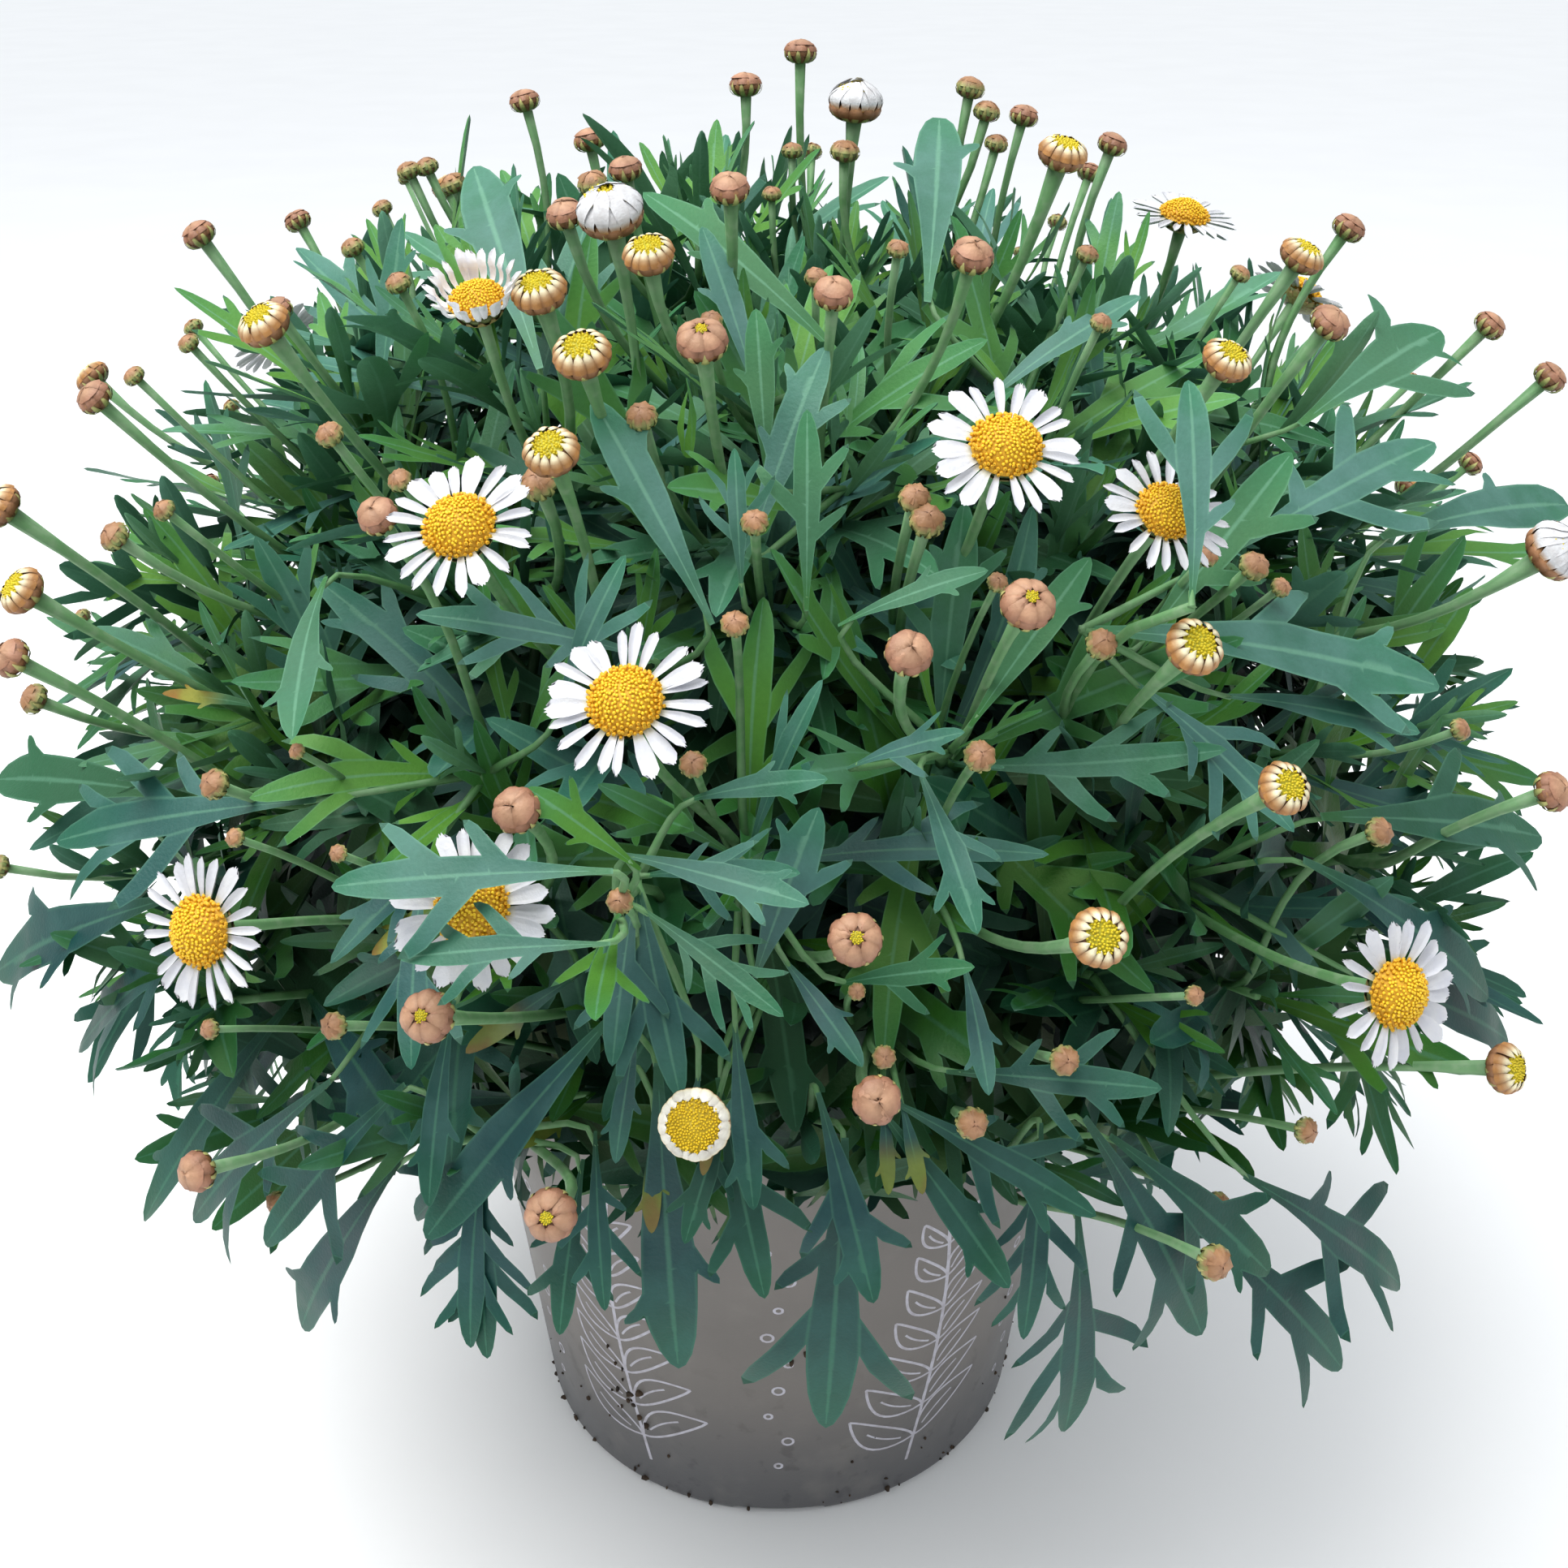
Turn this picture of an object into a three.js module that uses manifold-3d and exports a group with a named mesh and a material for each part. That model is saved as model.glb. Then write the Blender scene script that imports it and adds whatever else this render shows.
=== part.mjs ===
// A potted marguerite daisy: a tapered plastic pot filled with soil, and a dense dome of leafy
// branches that carry open daisies, opening heads and closed buds on long stalks.
// Millimetres, +Z up. The origin is the middle of the pot's underside, on the ground.

import * as THREE from 'three';
import { mergeVertices } from 'three/addons/utils/BufferGeometryUtils.js';
import Module from 'manifold-3d';

const wasm = await Module();
wasm.setup();

// Driving sizes of the pot and the soil
const POT = {
  rimRadius: 95,
  baseRadius: 78,
  height: 152,
  wall: 1.8,
  bandHeight: 12,
  bandStep: 1.6,
  lipRound: 0.8,
  floorLift: 5,
  footWidth: 9,
  footBevel: 2,
  padRadius: 22,
  notchWidth: 27,
  notchHeight: 3,
  notches: 4,
  holes: 8,
  holeRadius: 6,
  holeRing: 48,
  segments: 30,
};
const SOIL = { belowRim: 15, crown: 5, holeDepth: 42, holeSides: 5, rings: 1 };
const GAP = 0.35;

// The dome: half widths of the foliage, and of the shell on which the flower heads sit
const DOME = { middle: 245, reach: 200, rise: 150, drop: 140 };
const BLOOM = { middle: 245, reach: 221, rise: 168, drop: 150 };

const BRANCH = {
  count: 24,
  lowest: -0.62,
  rootSpread: 50,
  stemRadius: 1.9,
  stemSides: 4,
  heart: 0.68,
  leaves: 5,
};
const TUFT = {
  core: 20,
  reach: 50,
  flat: 0.72,
  jitter: 0.3,
  scales: [1.1, 1, 0.9, 0.8, 0.7, 0.6, 0.5, 0.45],
};
const LEAF = {
  length: 58,
  bodyWidth: 6,
  lobeReach: 8.5,
  thickness: 0.85,
  foot: 9,
  tries: 40,
  innerTilt: 24,
  outerTilt: 86,
  shorten: 0.18,
};
const STALK = {
  radius: 1.2,
  neck: 1.7,
  sides: 5,
  stations: [0.03, 0.6],
  bows: [[0, 0], [9, 0], [-9, 0], [0, 9], [0, -9], [14, 10], [-14, 10], [20, -8], [-20, -8]],
};
// Shares are of the flower's radius, or of the disc's half width for its height
const FLOWER = {
  smallest: 14.5,
  largest: 17.5,
  rays: 14,
  rayThickness: 0.8,
  rayRoot: 0.4,
  rayWidth: 0.42,
  shortestRay: 0.9,
  discShare: 0.46,
  discRise: 0.62,
  discSides: 8,
  cupHeight: 3,
  cupShare: 0.36,
};

// Head sizes: half width, height over the neck, and how far the crown closes in at the top
const HEADS = {
  bud: { half: 4.6, height: 6.4, crown: 0.66, dip: -0.8, sides: 5 },
  opening: { half: 5.6, height: 7.2, crown: 0.74, dip: 1.0, sides: 6 },
  cup: { half: 6.4, height: 9.5, crown: 0.8, dip: 2.0, sides: 6 },
};

// Where the heads are seen from: eye point, tilt and picture scale of the front view
const EYE = { side: 1.7, back: 468, up: 456, tilt: 27.2, focal: 2200, centre: 966 };

// Open flowers of the front view: u and v place the disc in the view, across is the flower's
// width there, turn and lift are the compass and height angles of the way that it faces
const OPEN_FLOWERS = [
  { u: 775, v: 878, across: 206, turn: -6, lift: 50 },
  { u: 574, v: 665, across: 182, turn: -12, lift: 52 },
  { u: 1233, v: 566, across: 184, turn: 8, lift: 50 },
  { u: 1427, v: 645, across: 140, turn: 16, lift: 48 },
  { u: 268, v: 1145, across: 180, turn: -28, lift: 24 },
  { u: 590, v: 1125, across: 186, turn: -10, lift: 42 },
  { u: 1702, v: 1220, across: 176, turn: 26, lift: 22 },
  { u: 594, v: 392, across: 108, turn: -12, lift: 62 },
  { u: 1454, v: 284, across: 118, turn: 30, lift: 76, deep: 0.55 },
];
const CUPS = [
  { u: 757, v: 284 },
  { u: 1052, v: 150, deep: 0.3 },
  { u: 1893, v: 692 },
];
const OPENING = [
  { u: 858, v: 1383 }, { u: 1345, v: 1158 }, { u: 1570, v: 977 }, { u: 1461, v: 807 },
  { u: 1502, v: 458 }, { u: 722, v: 453 }, { u: 1303, v: 207 }, { u: 1594, v: 330 },
  { u: 43, v: 737 }, { u: 15, v: 635 }, { u: 337, v: 415 }, { u: 1838, v: 1316 },
  { u: 685, v: 570 }, { u: 867, v: 435 }, { u: 802, v: 330 }, { u: 670, v: 376 },
  { u: 1260, v: 755 }, { u: 1052, v: 1160 }, { u: 536, v: 1253 }, { u: 685, v: 1492 },
];
const BUDS = [
  { u: 986, v: 78, deep: 0.4 }, { u: 919, v: 119, deep: 0.5 }, { u: 650, v: 137, deep: 0.5 },
  { u: 729, v: 186, deep: 0.4 }, { u: 1193, v: 121, deep: 0.4 }, { u: 1258, v: 155, deep: 0.5 },
  { u: 1366, v: 190, deep: 0.4 }, { u: 1653, v: 293, deep: 0.4 }, { u: 254, v: 301, deep: 0.4 },
  { u: 900, v: 247 }, { u: 1194, v: 330 }, { u: 1026, v: 374 }, { u: 1629, v: 410 },
  { u: 1825, v: 411, deep: 0.4 }, { u: 1898, v: 475 }, { u: 128, v: 500 }, { u: 473, v: 645 },
  { u: 28, v: 818 }, { u: 642, v: 1003 }, { u: 1898, v: 980 }, { u: 1117, v: 813 },
  { u: 255, v: 1441 }, { u: 1078, v: 1354 }, { u: 1488, v: 1551 },
];
// The side that the view doesn't show carries the same mix, spread by a seeded draw
const BACK = { flowers: 4, opening: 6, buds: 10, flowerSpacing: 60, headSpacing: 34, tries: 400 };

const POT_COLOUR = 0x766c64;
const SOIL_COLOUR = 0x3a2a1f;
const LEAF_COLOUR = 0x3c6b58;
const RAY_COLOUR = 0xf2f1ee;
const DISC_COLOUR = 0xe3ab14;

const UP = new THREE.Vector3(0, 0, 1);
const GOLDEN_ANGLE = Math.PI * (3 - Math.sqrt(5));
const SEED = 20260;

const radians = (degrees) => THREE.MathUtils.degToRad(degrees);
const point = (x, y, z) => new THREE.Vector3(x, y, z);

// A small seeded generator, so that each run gives the same plant
function seeded(seed) {
  let state = seed >>> 0;
  return () => {
    state = (state + 0x6d2b79f5) >>> 0;
    let t = state;
    t = Math.imul(t ^ (t >>> 15), t | 1);
    t ^= t + Math.imul(t ^ (t >>> 7), t | 61);
    return ((t ^ (t >>> 14)) >>> 0) / 4294967296;
  };
}

// Geometry to solid and back
function signedVolume(positions, index) {
  let six = 0;
  const a = point(0, 0, 0);
  const b = point(0, 0, 0);
  const c = point(0, 0, 0);
  for (let i = 0; i < index.length; i += 3) {
    a.fromArray(positions, 3 * index[i]);
    b.fromArray(positions, 3 * index[i + 1]);
    c.fromArray(positions, 3 * index[i + 2]);
    six += a.dot(b.cross(c));
  }
  return six / 6;
}

function toSolid(geometry) {
  const bare = geometry.clone();
  bare.deleteAttribute('normal');
  bare.deleteAttribute('uv');
  const merged = mergeVertices(bare, 1e-4);
  const vertProperties = Float32Array.from(merged.attributes.position.array);
  const corners = Array.from(merged.index.array);
  if (signedVolume(vertProperties, corners) < 0) corners.reverse();
  const triVerts = Uint32Array.from(corners);
  return new wasm.Manifold(new wasm.Mesh({ numProp: 3, vertProperties, triVerts }));
}

function toGeometry(solid) {
  const mesh = solid.getMesh();
  const geometry = new THREE.BufferGeometry();
  geometry.setAttribute('position', new THREE.BufferAttribute(mesh.vertProperties, 3));
  geometry.setIndex(new THREE.BufferAttribute(mesh.triVerts, 1));
  geometry.computeVertexNormals();
  return geometry;
}

function geometryOf(points, faces) {
  const geometry = new THREE.BufferGeometry();
  geometry.setFromPoints(points);
  geometry.setIndex(faces.flat());
  return geometry;
}

// A closed skin over a row of rings, ended by flat fans or by a single point at the far end
function loft(rings, endPoint) {
  const sides = rings[0].length;
  const faces = [];
  rings.slice(1).forEach((ring, i) => {
    for (let k = 0; k < sides; k += 1) {
      const a = i * sides + k;
      const b = i * sides + ((k + 1) % sides);
      faces.push([a, b, b + sides], [a, b + sides, a + sides]);
    }
  });
  const points = rings.flat();
  const last = (rings.length - 1) * sides;
  for (let k = 1; k < sides - 1; k += 1) faces.push([0, k + 1, k]);
  points.push(endPoint);
  for (let k = 0; k < sides; k += 1) faces.push([last + k, last + ((k + 1) % sides), points.length - 1]);
  return geometryOf(points, faces);
}

// Two directions across a given one, the first as near to level as it can be
function across(direction) {
  const level = point(0, 0, 1).cross(direction);
  if (level.length() < 0.05) level.set(1, 0, 0);
  level.normalize();
  return [level, direction.clone().cross(level).normalize()];
}

// Rings square to a path. Each ring starts on the same side as the one before it, so the skin
// between them isn't twisted.
function ringsAlong(stations, sides) {
  let aside = across(stations[0].direction)[0];
  return stations.map(({ centre, direction, radius }) => {
    aside = aside.clone().addScaledVector(direction, -aside.dot(direction)).normalize();
    const other = direction.clone().cross(aside);
    return Array.from({ length: sides }, (_, k) => {
      const angle = (2 * Math.PI * k) / sides;
      return centre.clone()
        .addScaledVector(aside, radius * Math.cos(angle))
        .addScaledVector(other, radius * Math.sin(angle));
    });
  });
}

// Pot
function potRadius(z) {
  return POT.baseRadius + ((POT.rimRadius - POT.bandStep - POT.baseRadius) * z) / POT.height;
}

function makePot() {
  const bandFoot = POT.height - POT.bandHeight;
  const floorTop = POT.floorLift + POT.wall;
  const footInner = POT.baseRadius - POT.footWidth;
  const profile = [
    [0, 0],
    [POT.padRadius, 0],
    [POT.padRadius + POT.footBevel, POT.floorLift],
    [footInner - POT.footBevel, POT.floorLift],
    [footInner, 0],
    [POT.baseRadius - POT.footBevel, 0],
    [potRadius(POT.footBevel), POT.footBevel],
    [potRadius(bandFoot), bandFoot],
    [potRadius(bandFoot) + POT.bandStep, bandFoot + POT.bandStep],
    [POT.rimRadius, POT.height - POT.lipRound],
    [POT.rimRadius - POT.lipRound, POT.height],
    [potRadius(POT.height) - POT.wall, POT.height],
    [potRadius(floorTop) - POT.wall, floorTop],
    [0, floorTop],
  ].map(([r, z]) => new THREE.Vector2(r, z));
  const lathe = new THREE.LatheGeometry(profile, POT.segments).rotateX(Math.PI / 2);
  let pot = toSolid(lathe);
  for (let k = 0; k < POT.notches; k += 1) {
    const notch = new THREE.BoxGeometry(POT.notchWidth, 3 * POT.footWidth, 2 * POT.notchHeight);
    notch.translate(0, POT.baseRadius - POT.footWidth / 2, 0);
    notch.rotateZ((2 * Math.PI * k) / POT.notches);
    pot = pot.subtract(toSolid(notch));
  }
  for (let k = 0; k < POT.holes; k += 1) {
    const angle = (2 * Math.PI * (k + 0.5)) / POT.holes;
    const drain = new THREE.CylinderGeometry(POT.holeRadius, POT.holeRadius, 4 * POT.floorLift, 8);
    drain.rotateX(Math.PI / 2);
    drain.translate(POT.holeRing * Math.cos(angle), POT.holeRing * Math.sin(angle), POT.floorLift);
    pot = pot.subtract(toSolid(drain));
  }
  return pot;
}

// Soil
const SOIL_TOP = POT.height - SOIL.belowRim;

function soilHeight(radius) {
  return SOIL_TOP + SOIL.crown * (1 - (radius / POT.baseRadius) ** 2);
}

function makeSoil(branches) {
  const foot = POT.floorLift + POT.wall + GAP;
  const footRadius = potRadius(foot) - POT.wall - GAP;
  const topRadius = potRadius(SOIL_TOP) - POT.wall - GAP;
  const crown = Array.from({ length: SOIL.rings }, (_, k) => {
    const radius = (topRadius * (SOIL.rings - k)) / SOIL.rings;
    return [radius, soilHeight(radius)];
  });
  const profile = [[0, foot], [footRadius, foot], ...crown, [0, soilHeight(0)]]
    .map(([r, z]) => new THREE.Vector2(r, z));
  const lathe = new THREE.LatheGeometry(profile, POT.segments).rotateX(Math.PI / 2);
  const holeRadius = BRANCH.stemRadius + 2 * GAP;
  return branches.reduce((soil, branch) => {
    const tall = SOIL.holeDepth + 2 * SOIL.crown;
    const hole = new THREE.CylinderGeometry(holeRadius, holeRadius, tall, SOIL.holeSides);
    hole.rotateX(Math.PI / 2);
    hole.translate(branch.root.x, branch.root.y, soilHeight(0) + SOIL.crown - tall / 2);
    return soil.subtract(toSolid(hole));
  }, toSolid(lathe));
}

// Points on the dome
function shellPoint(shell, direction, share = 1) {
  const height = direction.z > 0 ? shell.rise : shell.drop;
  return point(
    share * shell.reach * direction.x,
    share * shell.reach * direction.y,
    shell.middle + share * height * direction.z,
  );
}

// Where a line of sight of the front view meets a shell: deep 0 is the near side, 1 the far side
function seenPoint(shell, { u, v, deep = 0 }) {
  const tilt = radians(EYE.tilt);
  const right = (u - EYE.centre) / EYE.focal;
  const up = (EYE.centre - v) / EYE.focal;
  const eye = point(EYE.side, -EYE.back, EYE.up);
  const sight = point(
    right,
    Math.cos(tilt) + up * Math.sin(tilt),
    up * Math.cos(tilt) - Math.sin(tilt),
  );
  const meet = (height) => {
    const o = point(eye.x / shell.reach, eye.y / shell.reach, (eye.z - shell.middle) / height);
    const d = point(sight.x / shell.reach, sight.y / shell.reach, sight.z / height);
    const middle = -o.dot(d) / d.lengthSq();
    const miss = o.clone().addScaledVector(d, middle).lengthSq();
    const half = miss < 1 ? Math.sqrt((1 - miss) / d.lengthSq()) : 0;
    return eye.clone().addScaledVector(sight, middle - half * (1 - 2 * deep));
  };
  const upper = meet(shell.rise);
  return upper.z >= shell.middle ? upper : meet(shell.drop);
}

function viewDepth(place) {
  const tilt = radians(EYE.tilt);
  return Math.cos(tilt) * (place.y + EYE.back) + Math.sin(tilt) * (EYE.up - place.z);
}

function compass(turn, lift) {
  const t = radians(turn);
  const l = radians(lift);
  return point(Math.sin(t) * Math.cos(l), -Math.cos(t) * Math.cos(l), Math.sin(l));
}

function outward(place) {
  return point(place.x, place.y, place.z - BLOOM.middle).normalize();
}

// The branches: a root in the soil, and a heart from which leaves and stalks spread
function layBranches() {
  return Array.from({ length: BRANCH.count }, (_, i) => {
    const share = (i + 0.5) / BRANCH.count;
    const rise = 1 - share * (1 - BRANCH.lowest);
    const angle = i * GOLDEN_ANGLE;
    const flat = Math.sqrt(1 - rise * rise);
    const direction = point(flat * Math.cos(angle), flat * Math.sin(angle), rise);
    const radius = BRANCH.rootSpread * Math.sqrt(share);
    const root = point(radius * Math.cos(angle), radius * Math.sin(angle), 0);
    const name = `branch_${String(i + 1).padStart(2, '0')}`;
    const heart = shellPoint(DOME, direction, BRANCH.heart);
    return { number: i + 1, name, direction, root, heart, load: 0, solids: [] };
  });
}

// A stem stands straight in its hole, then leans out to the branch's heart
function makeStem(branch) {
  const top = soilHeight(branch.root.length());
  const foot = branch.root.clone().setZ(soilHeight(0) + SOIL.crown - SOIL.holeDepth);
  const mouth = branch.root.clone().setZ(top + SOIL.crown);
  const lean = branch.root.clone().multiplyScalar(1.15).setZ((top + branch.heart.z) / 2 + 18);
  const path = new THREE.QuadraticBezierCurve3(mouth, lean, branch.heart);
  const radius = BRANCH.stemRadius;
  const upright = [foot, mouth].map((centre) => ({ centre, direction: UP, radius }));
  const leaning = [0.35, 0.7, 1].map((t) => {
    return { centre: path.getPoint(t), direction: path.getTangent(t), radius };
  });
  const rings = ringsAlong([...upright, ...leaning], BRANCH.stemSides);
  return toSolid(loft(rings, branch.heart.clone().addScaledVector(path.getTangent(1), radius)));
}

// The heart of a branch: a tuft of short young leaves, as a small core with each of its twenty
// faces drawn out into a point
function makeHeart(branch, scale) {
  const ball = mergeVertices(stripped(new THREE.IcosahedronGeometry(1, 0)), 1e-3);
  const corners = Array.from({ length: ball.attributes.position.count }, (_, i) => {
    return point(0, 0, 0).fromBufferAttribute(ball.attributes.position, i);
  });
  const index = Array.from(ball.index.array);
  const tuft = seeded(SEED + branch.number);
  const faces = [];
  const points = corners.map((corner) => {
    return corner.clone().multiplyScalar(TUFT.core * (0.85 + 0.3 * tuft()));
  });
  for (let f = 0; f < index.length; f += 3) {
    const face = index.slice(f, f + 3);
    const middle = face.reduce((sum, i) => sum.add(corners[i]), point(0, 0, 0)).normalize();
    const jitter = point(tuft() - 0.5, tuft() - 0.5, tuft() - 0.5).multiplyScalar(TUFT.jitter);
    points.push(middle.add(jitter).multiplyScalar(TUFT.reach * scale * (0.8 + 0.4 * tuft())));
    face.forEach((i, k) => faces.push([i, face[(k + 1) % 3], points.length - 1]));
  }
  const spin = new THREE.Quaternion().setFromUnitVectors(UP, branch.direction);
  points.forEach((corner) => {
    corner.z *= TUFT.flat;
    corner.applyQuaternion(spin).add(branch.heart);
  });
  return toSolid(geometryOf(points, faces));
}

function stripped(geometry) {
  geometry.deleteAttribute('normal');
  geometry.deleteAttribute('uv');
  return geometry;
}

// A leaf: a narrow foot, a body that widens towards the end, and forward-pointing lobes.
// The outline runs in shares of the length and of the half width, and each lobe is a tip with the
// two body points that it stands between.
const LEAF_FORMS = [
  {
    left: [[0, 0.45], [0.42, 0.62], [0.58, 0.8], [0.84, 1.05]],
    right: [[0, 0.45], [0.54, 0.7], [0.7, 0.95]],
    lobes: [{ side: 'left', after: 1, tip: [0.72, 1] }, { side: 'right', after: 1, tip: [0.86, 0.92] }],
  },
  {
    left: [[0, 0.45], [0.5, 0.66], [0.64, 0.84], [0.87, 1.0]],
    right: [[0, 0.45], [0.38, 0.6], [0.52, 0.95]],
    lobes: [{ side: 'left', after: 1, tip: [0.84, 0.95] }, { side: 'right', after: 1, tip: [0.66, 0.9] }],
  },
];

function makeLeaf({ foot, direction, face, form, size, droop, curl }) {
  const length = LEAF.length * size;
  const half = (LEAF.bodyWidth / 2) * size;
  const forward = direction.clone().normalize();
  const side = forward.clone().cross(face).normalize();
  const top = side.clone().cross(forward).normalize();
  const place = (along, aside) => {
    const fall = droop * along * along + curl * (aside / LEAF.lobeReach) ** 2;
    return foot.clone()
      .addScaledVector(forward, length * along * (1 - LEAF.shorten * droop * along))
      .addScaledVector(side, aside)
      .addScaledVector(top, -length * fall);
  };
  const left = form.left.map(([along, wide]) => place(along, half * wide));
  const right = form.right.map(([along, wide]) => place(along, -half * wide));
  const points = [...left, ...right, place(1, 0)];
  const end = points.length - 1;
  const n = left.length;
  const m = right.length;
  const faces = [];
  for (let k = 0; k < m - 1; k += 1) {
    faces.push([k, n + k, n + k + 1], [k, n + k + 1, k + 1]);
  }
  for (let k = m - 1; k < n - 1; k += 1) faces.push([k, n + m - 1, k + 1]);
  faces.push([n - 1, n + m - 1, end]);
  const edge = [...Array(n).keys(), end, ...Array.from({ length: m }, (_, k) => n + m - 1 - k)];
  form.lobes.forEach(({ side: name, after, tip }) => {
    const sign = name === 'left' ? 1 : -1;
    const start = (name === 'left' ? 0 : n) + after;
    points.push(place(tip[0], sign * tip[1] * LEAF.lobeReach * size));
    const tipIndex = points.length - 1;
    faces.push(sign > 0 ? [start, start + 1, tipIndex] : [start + 1, start, tipIndex]);
    const at = edge.indexOf(sign > 0 ? start + 1 : start);
    edge.splice(at, 0, tipIndex);
  });
  return plate(points, faces, edge, top.multiplyScalar(LEAF.thickness));
}

// A thin sheet with its second face moved along one direction, so both faces split alike
function plate(points, faces, edge, offset) {
  const count = points.length;
  const under = points.map((p) => p.clone().sub(offset));
  const all = [...faces, ...faces.map(([a, b, c]) => [a + count, c + count, b + count])];
  edge.forEach((a, k) => {
    const b = edge[(k + 1) % edge.length];
    all.push([a, b, b + count], [a, b + count, a + count]);
  });
  return toSolid(orientedFaces([...points, ...under], all));
}

// The rim of a plate runs the same way round on every leaf, but its sense against the faces
// depends on the outline: the closed skin is made consistent from its first face outward
function orientedFaces(points, faces) {
  const byEdge = new Map();
  faces.forEach((face, f) => {
    face.forEach((a, k) => {
      const b = face[(k + 1) % 3];
      const key = a < b ? `${a}_${b}` : `${b}_${a}`;
      if (!byEdge.has(key)) byEdge.set(key, []);
      byEdge.get(key).push(f);
    });
  });
  const done = new Set([0]);
  const queue = [0];
  while (queue.length) {
    const face = faces[queue.pop()];
    face.forEach((a, k) => {
      const b = face[(k + 1) % 3];
      const key = a < b ? `${a}_${b}` : `${b}_${a}`;
      byEdge.get(key).filter((f) => !done.has(f)).forEach((f) => {
        const other = faces[f];
        if (other[(other.indexOf(a) + 1) % 3] === b) other.reverse();
        done.add(f);
        queue.push(f);
      });
    });
  }
  return geometryOf(points, faces);
}

// Stalks with their heads
function stalkCurve(branch, head, axis, bow) {
  const start = branch.heart.clone();
  const span = start.distanceTo(head);
  const leave = outward(branch.heart).lerp(head.clone().sub(start).normalize(), 0.6).normalize();
  const first = start.clone().addScaledVector(leave, 0.4 * span).add(bow);
  const second = head.clone().addScaledVector(axis, -0.35 * span);
  return new THREE.CubicBezierCurve3(start, first, second, head);
}

function stalkStations(branch, head, axis, bow) {
  const curve = stalkCurve(branch, head, axis, bow);
  return STALK.stations.map((t) => {
    return { centre: curve.getPoint(t), direction: curve.getTangent(t), radius: STALK.radius };
  });
}

// A stalk from the branch's heart to the neck, then the head over it in one skin
function makeHead(branch, head, axis, kind, size, bow = point(0, 0, 0)) {
  const form = HEADS[kind];
  const half = form.half * size;
  const height = form.height * size;
  const at = (up, radius) => {
    return { centre: head.clone().addScaledVector(axis, up), direction: axis, radius };
  };
  const stations = stalkStations(branch, head, axis, bow);
  stations.push(at(0, STALK.neck), at(0.42 * height, half), at(height, half * form.crown));
  const top = head.clone().addScaledVector(axis, height - form.dip * size);
  return toSolid(loft(ringsAlong(stations, form.sides), top));
}

// The stalk of an open flower ends in a green cup, on which the rays and the disc stand
function makeFlowerStalk(branch, flower, bow) {
  const cup = flower.head.clone().addScaledVector(flower.axis, FLOWER.cupHeight);
  const stations = stalkStations(branch, flower.head, flower.axis, bow);
  stations.push({ centre: flower.head, direction: flower.axis, radius: STALK.neck });
  stations.push({ centre: cup, direction: flower.axis, radius: FLOWER.cupShare * flower.radius });
  return toSolid(loft(ringsAlong(stations, STALK.sides), cup));
}

function onAxis(solidGeometry, flower, up) {
  const spin = new THREE.Quaternion().setFromUnitVectors(UP, flower.axis);
  const seat = flower.head.clone().addScaledVector(flower.axis, up);
  solidGeometry.applyQuaternion(spin);
  solidGeometry.translate(seat.x, seat.y, seat.z);
  return toSolid(solidGeometry);
}

// The rays: straps that widen towards square tips, with gaps between them
function makeRays(flower, draw) {
  const pitch = (2 * Math.PI) / FLOWER.rays;
  const corners = Array.from({ length: FLOWER.rays }, (_, k) => {
    const angle = pitch * (k + 0.3 * (draw() - 0.5));
    const reach = flower.radius * (FLOWER.shortestRay + (1 - FLOWER.shortestRay) * draw());
    const spread = pitch * FLOWER.rayWidth * (0.4 + 0.2 * draw());
    const root = FLOWER.rayRoot * flower.radius;
    return [[root, angle - pitch / 2], [reach, angle - spread], [reach, angle + spread]];
  }).flat();
  const outline = new THREE.Shape(corners.map(([r, angle]) => {
    return new THREE.Vector2(r * Math.cos(angle), r * Math.sin(angle));
  }));
  const star = new THREE.ExtrudeGeometry(outline, { depth: FLOWER.rayThickness, bevelEnabled: false });
  return onAxis(star, flower, FLOWER.cupHeight + GAP);
}

function makeDisc(flower) {
  const half = FLOWER.discShare * flower.radius;
  const rise = FLOWER.discRise * half;
  const profile = [[0, 0], [0.92 * half, 0], [half, 0.5 * rise], [0.72 * half, 0.82 * rise], [0, rise]]
    .map(([r, z]) => new THREE.Vector2(r, z));
  const dome = new THREE.LatheGeometry(profile, FLOWER.discSides).rotateX(Math.PI / 2);
  return onAxis(dome, flower, FLOWER.cupHeight + 2 * GAP + FLOWER.rayThickness);
}

// Solids already in place, with the node that each belongs to
const placed = [];

function keep(owner, solid) {
  placed.push({ owner, solid, box: solid.boundingBox() });
}

function apart(box, other) {
  return [0, 1, 2].some((k) => box.min[k] - GAP > other.max[k] || other.min[k] - GAP > box.max[k]);
}

// Clear of every other node, and beside the leaves and stalks of its own node
function isClear(owner, solid, beside = []) {
  const box = solid.boundingBox();
  const clearOfOthers = placed.every((item) => {
    if (item.owner === owner || apart(box, item.box)) return true;
    return solid.minGap(item.solid, 2 * GAP) > GAP * 0.9;
  });
  return clearOfOthers && beside.every((own) => solid.intersect(own).isEmpty());
}

function nearestBranch(branches, place) {
  const facing = outward(place);
  return branches.reduce((best, branch) => {
    const score = outward(branch.heart).dot(facing) - 0.02 * branch.load;
    return score > best.score ? { branch, score } : best;
  }, { branch: null, score: -Infinity }).branch;
}

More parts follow.
